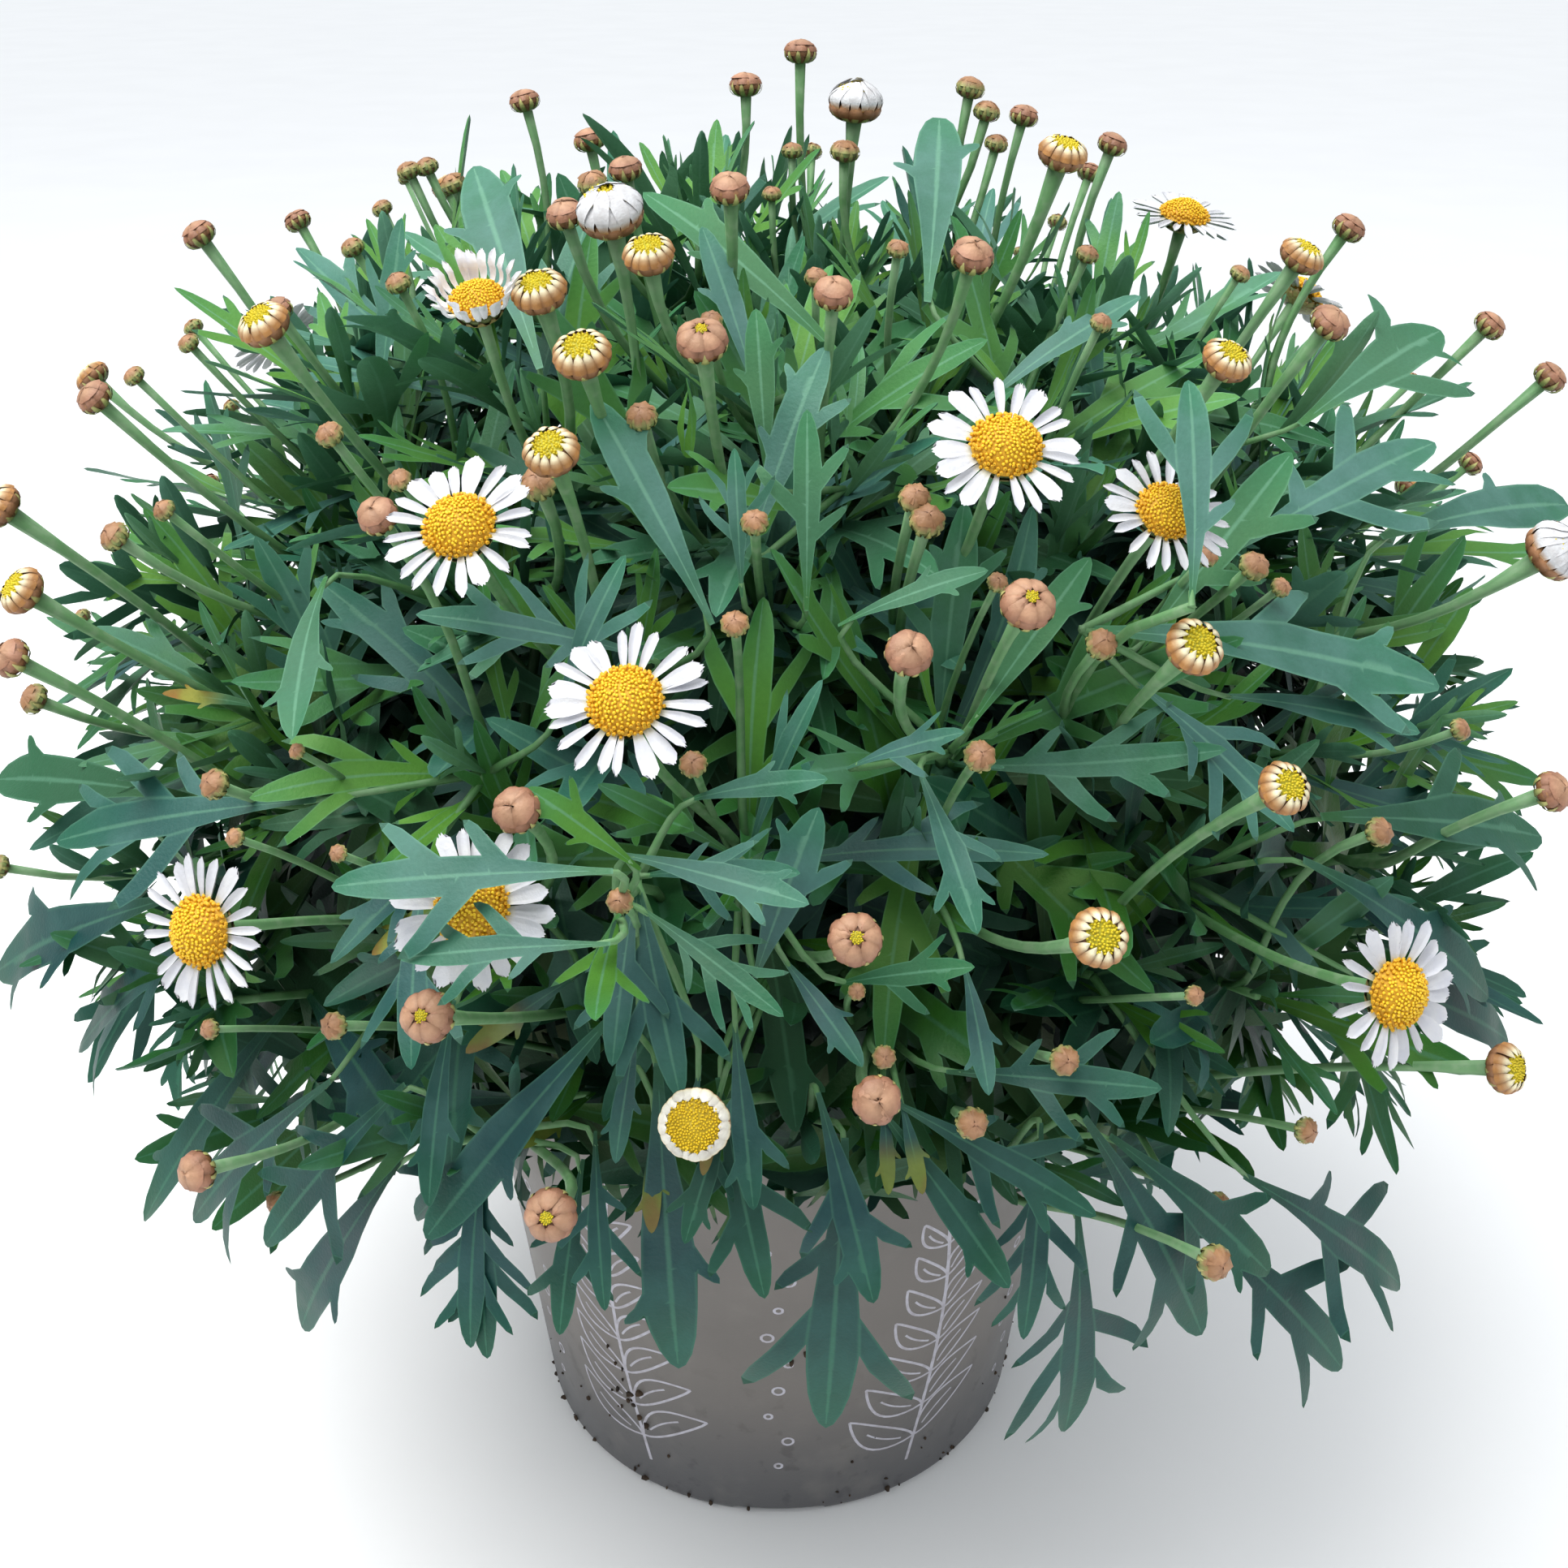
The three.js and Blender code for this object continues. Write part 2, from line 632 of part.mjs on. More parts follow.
// Positions for the heads behind, kept apart from each other and from those of the front view
function drawBack(count, spacing, taken, draw) {
  const found = [];
  for (let tries = 0; tries < BACK.tries && found.length < count; tries += 1) {
    const angle = Math.PI * (0.06 + 0.88 * draw());
    const rise = -0.2 + 1.0 * draw();
    const flat = Math.sqrt(1 - rise * rise);
    const direction = point(flat * Math.cos(angle), flat * Math.sin(angle), rise);
    const place = shellPoint(BLOOM, direction, 0.97 + 0.04 * draw());
    if (taken.every((other) => other.distanceTo(place) > spacing)) {
      taken.push(place);
      found.push(place);
    }
  }
  return found;
}

// A stalk runs straight to its head, or bows to one side round what is in its way
function firstClear(branch, axis, make) {
  const [a, b] = across(axis);
  return STALK.bows
    .map(([x, y]) => make(a.clone().multiplyScalar(x).addScaledVector(b, y)))
    .find((solid) => isClear(branch.name, solid));
}

function headAxis(place) {
  return outward(place).addScaledVector(UP, 0.55).normalize();
}

const draw = seeded(SEED);
const branches = layBranches();

function addTo(branch, solid) {
  branch.solids.push(solid);
  keep(branch.name, solid);
}

const potSolid = makePot();
const soilSolid = makeSoil(branches);
keep('pot', potSolid);
keep('soil', soilSolid);
branches.forEach((branch) => addTo(branch, makeStem(branch)));
branches.forEach((branch) => {
  const tufts = TUFT.scales.map((scale) => makeHeart(branch, scale));
  addTo(branch, tufts.find((tuft) => isClear(branch.name, tuft)) ?? tufts.at(-1));
});

// Open flowers come before the other heads, because nothing may cross them
const taken = [];
const flowers = OPEN_FLOWERS.map((seen) => {
  const head = seenPoint(BLOOM, seen);
  const seenRadius = (seen.across * viewDepth(head)) / (2 * EYE.focal);
  const radius = THREE.MathUtils.clamp(seenRadius, FLOWER.smallest, FLOWER.largest);
  taken.push(head);
  return { head, radius, axis: compass(seen.turn, seen.lift) };
});
drawBack(BACK.flowers, BACK.flowerSpacing, taken, draw).forEach((head) => {
  const radius = THREE.MathUtils.lerp(FLOWER.smallest, FLOWER.largest, draw());
  flowers.push({ head, radius, axis: headAxis(head) });
});
flowers.forEach((flower, i) => {
  const number = String(i + 1).padStart(2, '0');
  const branch = nearestBranch(branches, flower.head);
  branch.load += 2;
  flower.rays = { name: `rays_${number}`, solid: makeRays(flower, draw) };
  flower.disc = { name: `disc_${number}`, solid: makeDisc(flower) };
  keep(flower.rays.name, flower.rays.solid);
  keep(flower.disc.name, flower.disc.solid);
  addTo(branch, firstClear(branch, flower.axis, (bow) => makeFlowerStalk(branch, flower, bow)));
});

// A head that no bow of its stalk can clear is left out
function placeHead(kind, place, size) {
  const axis = headAxis(place);
  const branch = nearestBranch(branches, place);
  const clear = firstClear(branch, axis, (bow) => makeHead(branch, place, axis, kind, size, bow));
  if (!clear) return;
  branch.load += 1;
  taken.push(place);
  addTo(branch, clear);
}

const varied = () => 0.9 + 0.2 * draw();
CUPS.forEach((seen) => placeHead('cup', seenPoint(BLOOM, seen), 1));
OPENING.forEach((seen) => placeHead('opening', seenPoint(BLOOM, seen), varied()));
BUDS.forEach((seen) => placeHead('bud', seenPoint(BLOOM, seen), varied()));
drawBack(BACK.opening, BACK.headSpacing, taken, draw).forEach((place) => placeHead('opening', place, 1));
drawBack(BACK.buds, BACK.headSpacing, taken, draw).forEach((place) => placeHead('bud', place, 1));

// Leaves: a rosette round each heart. A leaf that would cross something swings aside, further at
// each try, until it is clear. The later tries allow a crossing within its own branch.
function drawLeaf(branch, k, attempt) {
  const [a, b] = across(branch.direction);
  const stray = () => (draw() - 0.5) * (1 + attempt / 5);
  const swing = k * GOLDEN_ANGLE + 0.9 * stray();
  const share = (k + 0.5) / BRANCH.leaves;
  const tilt = radians(THREE.MathUtils.lerp(LEAF.innerTilt, LEAF.outerTilt, share) + 14 * stray());
  const sideways = a.multiplyScalar(Math.cos(swing)).addScaledVector(b, Math.sin(swing));
  const direction = branch.direction.clone().multiplyScalar(Math.cos(tilt))
    .addScaledVector(sideways, Math.sin(tilt));
  return makeLeaf({
    foot: branch.heart.clone().addScaledVector(direction, LEAF.foot),
    direction,
    face: branch.direction.clone().addScaledVector(UP, 0.7).normalize(),
    form: LEAF_FORMS[(k + attempt) % LEAF_FORMS.length],
    size: 0.85 + 0.3 * draw() - 0.01 * attempt,
    droop: 0.1 + 0.22 * draw(),
    curl: 0.05 * draw(),
  });
}

branches.forEach((branch) => {
  for (let k = 0; k < BRANCH.leaves; k += 1) {
    for (let attempt = 0; attempt < LEAF.tries; attempt += 1) {
      const leaf = drawLeaf(branch, k, attempt);
      const beside = attempt < LEAF.tries / 2 ? branch.solids.slice(2) : [];
      if (isClear(branch.name, leaf, beside)) {
        addTo(branch, leaf);
        break;
      }
    }
  }
});

// The object
function named(name, solid, color, roughness) {
  const material = new THREE.MeshStandardMaterial({ color, roughness, metalness: 0 });
  const mesh = new THREE.Mesh(toGeometry(solid), material);
  mesh.name = name;
  return mesh;
}

const marguerite = new THREE.Group();
marguerite.add(named('pot', potSolid, POT_COLOUR, 0.55));
marguerite.add(named('soil', soilSolid, SOIL_COLOUR, 0.95));
branches.forEach((branch) => {
  const whole = branch.solids.reduce((sum, solid) => sum.add(solid));
  marguerite.add(named(branch.name, whole, LEAF_COLOUR, 0.6));
});
flowers.forEach(({ rays, disc }) => {
  marguerite.add(named(rays.name, rays.solid, RAY_COLOUR, 0.5));
  marguerite.add(named(disc.name, disc.solid, DISC_COLOUR, 0.7));
});

export default marguerite;
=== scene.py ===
# The looks of a potted marguerite daisy: lobed leaves, ribbed stalks, buds, flowers, pot and soil.
# Lengths are in millimetres up to the point where a mesh is made, and meshes are in metres.
# +Z is up and the origin is the middle of the pot's underside.
import math
import random

import bpy
import numpy as np
from mathutils.geometry import delaunay_2d_cdt
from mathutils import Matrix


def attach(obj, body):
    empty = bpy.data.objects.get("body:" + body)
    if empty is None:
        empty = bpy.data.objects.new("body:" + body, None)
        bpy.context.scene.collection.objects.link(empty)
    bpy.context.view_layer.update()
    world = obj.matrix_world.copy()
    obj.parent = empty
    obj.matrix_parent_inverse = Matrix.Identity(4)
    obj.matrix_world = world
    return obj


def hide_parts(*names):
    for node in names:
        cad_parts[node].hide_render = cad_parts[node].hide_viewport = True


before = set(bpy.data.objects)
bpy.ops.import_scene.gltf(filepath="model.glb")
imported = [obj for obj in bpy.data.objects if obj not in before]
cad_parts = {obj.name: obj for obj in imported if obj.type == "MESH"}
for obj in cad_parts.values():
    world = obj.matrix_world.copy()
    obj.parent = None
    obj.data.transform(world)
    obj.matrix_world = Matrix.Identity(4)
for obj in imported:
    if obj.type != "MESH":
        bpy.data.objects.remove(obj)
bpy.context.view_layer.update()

MM = 0.001
BODY = "root"
SEED = 20260
UP = np.array((0.0, 0.0, 1.0))
GOLDEN_ANGLE = math.pi * (3 - math.sqrt(5))
FULL_TURN = 2 * math.pi
# The second finish of a foliage piece; its first is that of the leaves
STALK_FINISH = 1

# The front view: eye point, tilt in degrees, and picture scale and middle in picture points
EYE = {"side": 1.7, "back": 468, "up": 456, "tilt": 27.2, "focal": 2200, "centre": 966, "frame": 1932}
SENSOR = 36

# The pot, its print, the soil in it, and the specks of soil that stick to its wall
POT = {
    "rim": 95, "base": 78, "height": 152, "wall": 1.8, "band": 12, "band_step": 1.6, "lip": 0.8,
    "floor_lift": 5, "foot": 9, "bevel": 2, "pad": 22, "notch": 27, "notch_height": 3, "notches": 4,
    "holes": 8, "hole": 6, "hole_ring": 48, "segments": 200,
}
PRINT = {
    "sprigs": 6, "line": 0.42, "foot": 14, "tall": 108, "sway": 6, "pairs": 7, "longest": 27,
    "shorter": 2.1, "lean": 54, "dots": 9, "dot_foot": 24, "dot_step": 11.5, "dot_sway": 3.2,
    "top_leaf": (15, 6),
}
SOIL = {"below_rim": 15, "crown": 5, "rings": 22, "spokes": 90, "lump": 1.6, "crumbs": 260}
SOIL_TOP = POT["height"] - SOIL["below_rim"]
# Some specks lie in one smear: its way round the pot, height and spread
SPECKS = {"count": 150, "lowest": 2.5, "small": (0.25, 0.7), "large": (0.6, 1.5), "smear": (-47, 42, 5)}
# The air between parts that nearly touch
GAP = 0.35

# The dome of foliage, the shell on which the heads sit, the shell of the smallest buds, which sit
# among the leaves, and the shell of the outermost leaves
DOME = {"middle": 245, "reach": 200, "rise": 150, "drop": 140}
BLOOM = {"middle": 245, "reach": 221, "rise": 168, "drop": 150}
NEST = {"middle": 245, "reach": 200, "rise": 156, "drop": 138}
LEAFAGE = {"middle": 245, "reach": 207, "rise": 160, "drop": 230}

# Each branch is a stem from the soil to a heart in the bush, and carries shoots, each of which
# ends in a tuft of leaves. Tilts are the angles in degrees of the young and the old leaves.
BRANCHES = {"count": 24, "lowest": -0.62, "root_spread": 50, "stem": 1.9, "heart": 0.68, "foot": 100}
SHOOTS = {
    "count": 180, "lowest": -0.8, "nearest": 0.68, "furthest": 0.93, "stem": 1.3, "centre": 165,
    "stray": 0.2, "leaves": 16, "run": 38, "inner_tilt": 16, "outer_tilt": 102, "top_tilt": 70,
    "young": 0.25, "droop": 0.6, "inner": 60, "inner_share": 0.5, "inner_leaves": 12,
}
# Shoots that stand before their neighbours in the front view: place, stand-off and young leaves
CLEAR_SHOOTS = [(760, 1116, -2, 4), (1468, 748, 24, 0)]
# The foliage ends above this slope on the near side, so the pot shows: height at the pot's rim,
# rise with each millimetre further out, and how squarely a leaf has to face the front
SKIRT = {"height": 136, "rise": 0.75, "front": 0.72}
# Lengths of young and grown leaves, and how leaves vary. The arch goes from the first value, at
# the tip of a shoot, to the second, and the other pairs are ranges. Swing and stray are drawn
# evenly up to their value, and each spread is that of a normal draw.
LEAF = {
    "shortest": 24, "longest": 63, "thickness": 0.45, "foot": 1.5, "length": (0.82, 1.1),
    "width": (0.9, 1.22), "top_width": 0.82, "fold": (0.1, 0.5), "wave": (0, 0.35),
    "arch": (-0.25, 0.6), "grown_at": 0.45, "swing": 0.35, "stray": 0.35, "tilt_spread": 9,
    "arch_spread": 0.28, "twist_spread": 0.35, "sweep_spread": 0.08, "light_spread": 0.15,
}
# Leaves by their foot and tip in the front view: how deep the foot sits, how much deeper an old
# leaf sits, the length against the distance between foot and tip, which changes between two rows
# of the picture, the gap to the shoot that the leaf itself closes, and how the blade bends. The
# clear values are for leaves that stand before the others.
FRAMED = {
    "deep": 19, "old_deep": 20, "longer": (1.06, 1.25), "rows": (700, 400), "longest": 1.15,
    "gap": 0.3, "clear_longer": 1.05, "clear_gap": 0.12, "clear_share": 0.6, "arch": 0.35,
    "fold": 0.2, "wave": 0.15, "width": (1.0, 1.2), "twist_spread": 0.1, "twig_steps": 6,
}
# Rods: number of sides, marks of the way at both ends, and tone
RODS = {
    "stem": (8, (0.1, 0.1), (0.2, 0.0, 0.0)),
    "shoot": (6, (0, 0.4), (0.3, 0.3, 0.0)),
    "twig": (5, (0.4, 0.4), (0.4, 0.3, 0.0)),
}
STALK = {"radius": 1.15, "steps": 12, "sides": 8, "rib": 0.12, "start": 12, "under": 62}
FLOWER = {
    "smallest": 14.5, "largest": 17.5, "rays": 21, "cup": 3, "disc_share": 0.46, "disc_rise": 0.62,
    "root": 0.38, "thickness": 0.3, "florets": 270, "ripe": 0.22,
}
# Half width of each kind of head, the share of it that its body has under the scales, and the
# room that leaves keep free before it
HEAD_HALF = {"cup": 6.4, "crown": 6.8, "ring": 5.4, "spot": 4.8, "bud": 4.25, "far_bud": 4.2}
BODY_SHARE = {"cup": 0.95, "crown": 0.89, "ring": 0.9, "spot": 0.86, "bud": 0.84}
FREE = {"flower": 90, "opening": 40, "bud": 9}

# Open flowers of the front view: place of the disc, width, and the compass and height angles of
# the way that each one faces. Some have values of their own for what PLAIN_FLOWER gives.
OPEN_FLOWERS = [
    {"u": 775, "v": 878, "across": 206, "turn": -6, "lift": 50},
    {"u": 574, "v": 665, "across": 182, "turn": -12, "lift": 52},
    {"u": 1233, "v": 566, "across": 184, "turn": 8, "lift": 50, "broad": 0.45},
    {"u": 1427, "v": 645, "across": 140, "turn": 16, "lift": 48, "clear": 14, "drawn": 0.86},
    {"u": 268, "v": 1145, "across": 180, "turn": -28, "lift": 24},
    {"u": 590, "v": 1125, "across": 186, "turn": -10, "lift": 42, "clear": 14, "broad": 0.9},
    {"u": 1702, "v": 1220, "across": 176, "turn": 26, "lift": 22, "broad": 0.55},
    {"u": 594, "v": 392, "across": 108, "turn": -12, "lift": 62, "bowl": 0.9, "drawn": 0.82},
    {"u": 1454, "v": 284, "across": 118, "turn": 30, "lift": 76, "deep": 0.55},
]
# Depth from 0 on the near side of the bush to 1 on the far side, the share of its width at which
# a flower is made, the room kept free before it, how far its rays rise, and its share of broad rays
PLAIN_FLOWER = {"deep": 0, "drawn": 1, "clear": FREE["flower"], "bowl": 0, "broad": 0.2}
FAR_BROAD = 0.4
# Half-open heads: place and depth
CUPS = [(757, 284, 0), (1052, 150, 0.3), (1893, 692, 0)]
# Opening heads: place, and how far each one has opened
OPENING = [
    (858, 1383, "crown"), (1345, 1158, "ring"), (1570, 977, "ring"), (1461, 807, "ring"),
    (1502, 458, "ring"), (722, 453, "ring"), (1303, 207, "ring"), (1594, 330, "ring"),
    (43, 737, "ring"), (15, 635, "ring"), (337, 415, "ring"), (1838, 1316, "ring"),
    (685, 570, "ring"), (867, 435, "spot"), (802, 330, "ring"), (670, 376, "ring"),
    (1260, 755, "spot"), (1052, 1160, "spot"), (536, 1253, "spot"), (685, 1492, "spot"),
]
# Closed buds: place and depth
BUDS = [
    (986, 78, 0.4), (919, 119, 0.5), (650, 137, 0.5), (729, 186, 0.4), (1193, 121, 0.4),
    (1258, 155, 0.5), (1366, 190, 0.4), (1653, 293, 0.4), (254, 301, 0.4), (900, 247, 0),
    (1194, 330, 0), (1026, 374, 0), (1629, 410, 0), (1825, 411, 0.4), (1898, 475, 0),
    (128, 500, 0), (473, 645, 0), (28, 818, 0), (642, 1003, 0), (1898, 980, 0), (1117, 813, 0),
    (255, 1441, 0), (1078, 1354, 0), (1488, 1551, 0),
]
# Smaller buds: place, half width of the head, and depth
SMALL_BUDS = [
    (773, 222, 4.2, 0.2), (733, 238, 3.9, 0.2), (700, 278, 4.4, 0.1), (951, 247, 2.6, 0.3),
    (976, 195, 3.0, 0.4), (1040, 199, 3.9, 0.3), (1213, 149, 3.8, 0.4), (1225, 187, 3.3, 0.4),
    (239, 430, 2.9, 0.3), (172, 470, 2.9, 0.3), (475, 265, 3.0, 0.5), (508, 220, 3.4, 0.5),
    (530, 215, 3.4, 0.5), (563, 237, 3.6, 0.4), (440, 314, 3.4, 0.4), (496, 358, 3.3, 0.2),
    (349, 395, 4.2, 0.2), (1005, 350, 2.7, 0.1), (1336, 322, 2.9, 0.2), (1523, 345, 2.8, 0.3),
    (1353, 405, 2.6, 0.1), (793, 522, 3.4, 0), (668, 605, 4.0, 0), (412, 543, 3.1, 0.05),
    (497, 598, 2.7, 0), (209, 634, 2.7, 0.1), (151, 668, 3.6, 0.1), (906, 774, 2.9, 0),
    (1125, 622, 3.4, 0), (1140, 650, 3.7, 0), (1352, 800, 3.4, 0), (1538, 704, 3.4, 0),
    (1573, 728, 2.3, 0), (1482, 690, 2.5, 0), (1227, 722, 2.2, 0), (1791, 902, 2.7, 0),
    (1690, 1028, 3.4, 0), (1204, 936, 3.3, 0), (855, 945, 2.8, 0), (273, 970, 3.4, 0),
    (295, 1034, 2.2, 0), (421, 1053, 2.0, 0), (10, 1070, 3.2, 0), (54, 866, 4.0, 0),
    (766, 1112, 2.6, 0.01), (418, 1264, 3.0, 0), (265, 1268, 2.4, 0), (350, 1480, 3.2, 0),
    (1088, 1302, 2.4, 0), (1194, 1382, 3.4, 0), (1307, 1306, 3.2, 0), (1467, 1227, 2.2, 0),
    (1601, 1391, 3.2, 0), (1492, 1481, 3.3, 0), (370, 928, 1.8, 0), (1055, 1222, 1.8, 0),
    (930, 650, 2.9, 0), (877, 403, 2.6, 0), (1105, 315, 2.6, 0.1), (624, 270, 2.8, 0.3),
]
# The far side carries the same mix, spread by a seeded draw
BACK = {"flowers": 4, "opening": 6, "buds": 10, "flower_spacing": 60, "head_spacing": 34, "tries": 400}
BACK_SMALL = {"count": 34, "spacing": 20, "smallest": 2.2, "largest": 3.9}
# Rays of a flower among the frame's solids, each of which took three draws
FRONT_RAYS = 14

# Leaves that stand out in the front view: foot, tip, form, hue from 0 for blue to 1 for green,
# and for some the distance by which they stand before the other leaves
CLEAR_LEAVES = [
    (735, 1078, 416, 1092, 1, 0.45, 28), (759, 1073, 991, 1112, 4, 0.42, 14),
    (738, 1166, 498, 1180, 2, 0.5, 30),
    (776, 1147, 961, 1249, 6, 0.6, 12), (772, 1160, 837, 1347, 7, 0.2), (715, 1151, 755, 1308, 1, 0.15),
    (768, 1086, 655, 973, 3, 0.95, 14), (833, 1008, 1010, 957, 5, 0.5), (793, 1060, 976, 1073, 2, 0.4),
    (711, 1329, 529, 1520, 5, 0.1), (496, 1307, 529, 1481, 5, 0.45), (451, 1125, 507, 1312, 7, 0.2),
    (757, 1333, 759, 1429, 5, 0.3), (789, 1407, 835, 1680, 5, 0.3), (897, 1333, 928, 1485, 0, 0.3),
    (876, 1420, 941, 1594, 1, 0.6), (889, 1433, 845, 1528, 4, 0.6), (681, 1528, 690, 1640, 1, 0.6),
    (1244, 890, 1339, 691, 5, 0.9), (1513, 804, 1765, 843, 4, 0.35), (1474, 843, 1590, 1020, 6, 0.15),
    (1569, 673, 1765, 545, 2, 0.2), (1463, 751, 1466, 473, 7, 0.25, 28), (1274, 412, 1400, 362, 5, 0.2, -8),
    (1057, 752, 1209, 700, 5, 0.55), (1066, 960, 1178, 899, 0, 0.15), (1500, 760, 1590, 560, 1, 0.85),
    (1600, 860, 1745, 900, 4, 0.4), (935, 600, 1013, 430, 3, 0.2), (1000, 690, 995, 510, 1, 0.65),
    (835, 700, 735, 495, 5, 0.4), (760, 800, 520, 755, 2, 0.15), (310, 700, 360, 905, 5, 0.6),
    (280, 1010, 75, 1035, 6, 0.25), (160, 1120, 0, 1195, 3, 0.3), (210, 1150, 100, 1290, 2, 0.5),
    (120, 1000, 0, 960, 5, 0.8), (440, 1490, 372, 1632, 5, 0.2), (600, 1500, 600, 1668, 2, 0.5),
    (480, 1480, 580, 1655, 6, 0.2), (1385, 1490, 1315, 1762, 6, 0.5), (1500, 1455, 1722, 1580, 2, 0.5),
    (1510, 1560, 1650, 1682, 1, 0.5), (1130, 1440, 1345, 1495, 2, 0.55), (1215, 1395, 1425, 1340, 2, 0.55),
    (1110, 1455, 1240, 1582, 5, 0.6), (1650, 1200, 1855, 1280, 5, 0.4), (1680, 1075, 1830, 1225, 5, 0.5),
    (1165, 975, 1203, 1145, 4, 0.35), (970, 1240, 1060, 1310, 5, 0.1), (1050, 1270, 1190, 1190, 0, 0.8),
    (1225, 1245, 1218, 1345, 5, 0.25), (917, 385, 868, 280, 5, 0.12), (1175, 280, 1158, 145, 5, 0.4),
    (600, 340, 583, 205, 5, 0.35), (1660, 500, 1775, 405, 0, 0.6), (1720, 650, 1930, 620, 5, 0.4),
    (1730, 1030, 1895, 1030, 4, 0.6), (930, 1250, 1000, 1010, 3, 0.12), (640, 890, 760, 690, 7, 0.2),
    (1052, 1510, 1018, 1755, 7, 0.45), (1400, 1470, 1480, 1640, 1, 0.5), (1330, 1480, 1262, 1645, 6, 0.4),
    (1440, 1490, 1560, 1565, 0, 0.6), (700, 1490, 745, 1610, 2, 0.5), (1020, 1440, 1075, 1600, 0, 0.15),
    (330, 1400, 240, 1500, 2, 0.5), (420, 1420, 330, 1530, 1, 0.45),
    (940, 500, 932, 384, 5, 0.8), (1003, 330, 800, 236, 5, 0.85), (905, 690, 905, 560, 6, 0.3),
]
# Old yellow and orange leaves low in the bush: foot, tip, hue, and for some that distance
OLD_LEAVES = [
    (620, 1330, 515, 1366, 0.35), (650, 1520, 598, 1496, 1.0), (768, 1515, 779, 1618, 0.6, 12),
    (1150, 1490, 1164, 1565, 0.5, 12), (838, 1440, 824, 1512, 0.4, 14), (455, 1170, 380, 1225, 1.0),
    (1125, 1490, 1116, 1566, 0.45, 10), (120, 880, 90, 850, 0.8), (866, 1480, 852, 1540, 0.5, 14),
]
# They all have this one of the FORMS
OLD_FORM = 5


# Small helpers
def unit(v):
    return v / np.linalg.norm(v)


def blend(a, b, share):
    return a + (b - a) * share


def smooth_step(low, high, x):
    t = np.clip((x - low) / (high - low), 0, 1)
    return t * t * (3 - 2 * t)


def sides_of(direction):
    """Two directions across a given one, the first as near to level as it can be."""
    level = np.cross(UP, direction)
    if np.linalg.norm(level) < 0.05:
        level = np.array((1.0, 0.0, 0.0))
    level = unit(level)
    return level, unit(np.cross(direction, level))


def seeded(seed):
    """The seeded draw that also places the heads of the far side among the frame's solids."""
    mask = 0xFFFFFFFF
    state = seed

    def draw():
        nonlocal state
        state = (state + 0x6D2B79F5) & mask
        t = state
        t = ((t ^ (t >> 15)) * (t | 1)) & mask
        t ^= (t + (((t ^ (t >> 7)) * (t | 61)) & mask)) & mask
        return ((t ^ (t >> 14)) & mask) / 2 ** 32

    return draw


def shell_point(shell, direction, share=1.0):
    height = shell["rise"] if direction[2] > 0 else shell["drop"]
    spread = np.array((shell["reach"], shell["reach"], height))
    return np.array((0, 0, shell["middle"])) + share * spread * direction


def sight_line(u, v):
    tilt = math.radians(EYE["tilt"])
    right = (u - EYE["centre"]) / EYE["focal"]
    up = (EYE["centre"] - v) / EYE["focal"]
    eye = np.array((EYE["side"], -EYE["back"], EYE["up"]), float)
    forward = math.cos(tilt) + up * math.sin(tilt)
    return eye, np.array((right, forward, up * math.cos(tilt) - math.sin(tilt)))


def seen_point(shell, u, v, deep=0.0):
    """Where a line of sight meets a shell, at its near side, its far side or between them."""
    eye, sight = sight_line(u, v)

    def meet(height):
        spread = np.array((shell["reach"], shell["reach"], height))
        o = (eye - np.array((0, 0, shell["middle"]))) / spread
        d = sight / spread
        middle = -o.dot(d) / d.dot(d)
        miss = np.sum((o + d * middle) ** 2)
        half = math.sqrt((1 - miss) / d.dot(d)) if miss < 1 else 0
        return eye + sight * (middle - half * (1 - 2 * deep))

    upper = meet(shell["rise"])
    return upper if upper[2] >= shell["middle"] else meet(shell["drop"])


def view_depth(place):
    tilt = math.radians(EYE["tilt"])
    return math.cos(tilt) * (place[1] + EYE["back"]) + math.sin(tilt) * (EYE["up"] - place[2])


def compass(turn, lift):
    t = math.radians(turn)
    e = math.radians(lift)
    return np.array((math.sin(t) * math.cos(e), -math.cos(t) * math.cos(e), math.sin(e)))


def outward(place):
    return unit(place - np.array((0, 0, BLOOM["middle"])))


def head_axis(place):
    return unit(outward(place) + 0.55 * UP)


def on_dome(count, lowest, i, turn=0.0):
    """One of a number of directions spread evenly from the top down, its share and its angle."""
    share = (i + 0.5) / count
    rise = 1 - share * (1 - lowest)
    flat = math.sqrt(1 - rise * rise)
    angle = i * GOLDEN_ANGLE + turn
    return np.array((flat * math.cos(angle), flat * math.sin(angle), rise)), share, angle


def turns(count):
    """Angles spread evenly round a full turn."""
    return FULL_TURN * np.arange(count) / count


def circle(radius, angles, height):
    """Points round the Z axis, for any mix of single and many radii, angles and heights."""
    sides = (radius * np.cos(angles), radius * np.sin(angles), height)
    return np.stack(np.broadcast_arrays(*sides), axis=-1)


def spinner(angle):
    """The matrix by which rows of points turn round the Z axis."""
    c, s = math.cos(angle), math.sin(angle)
    return np.array(((c, s, 0), (-s, c, 0), (0, 0, 1)))


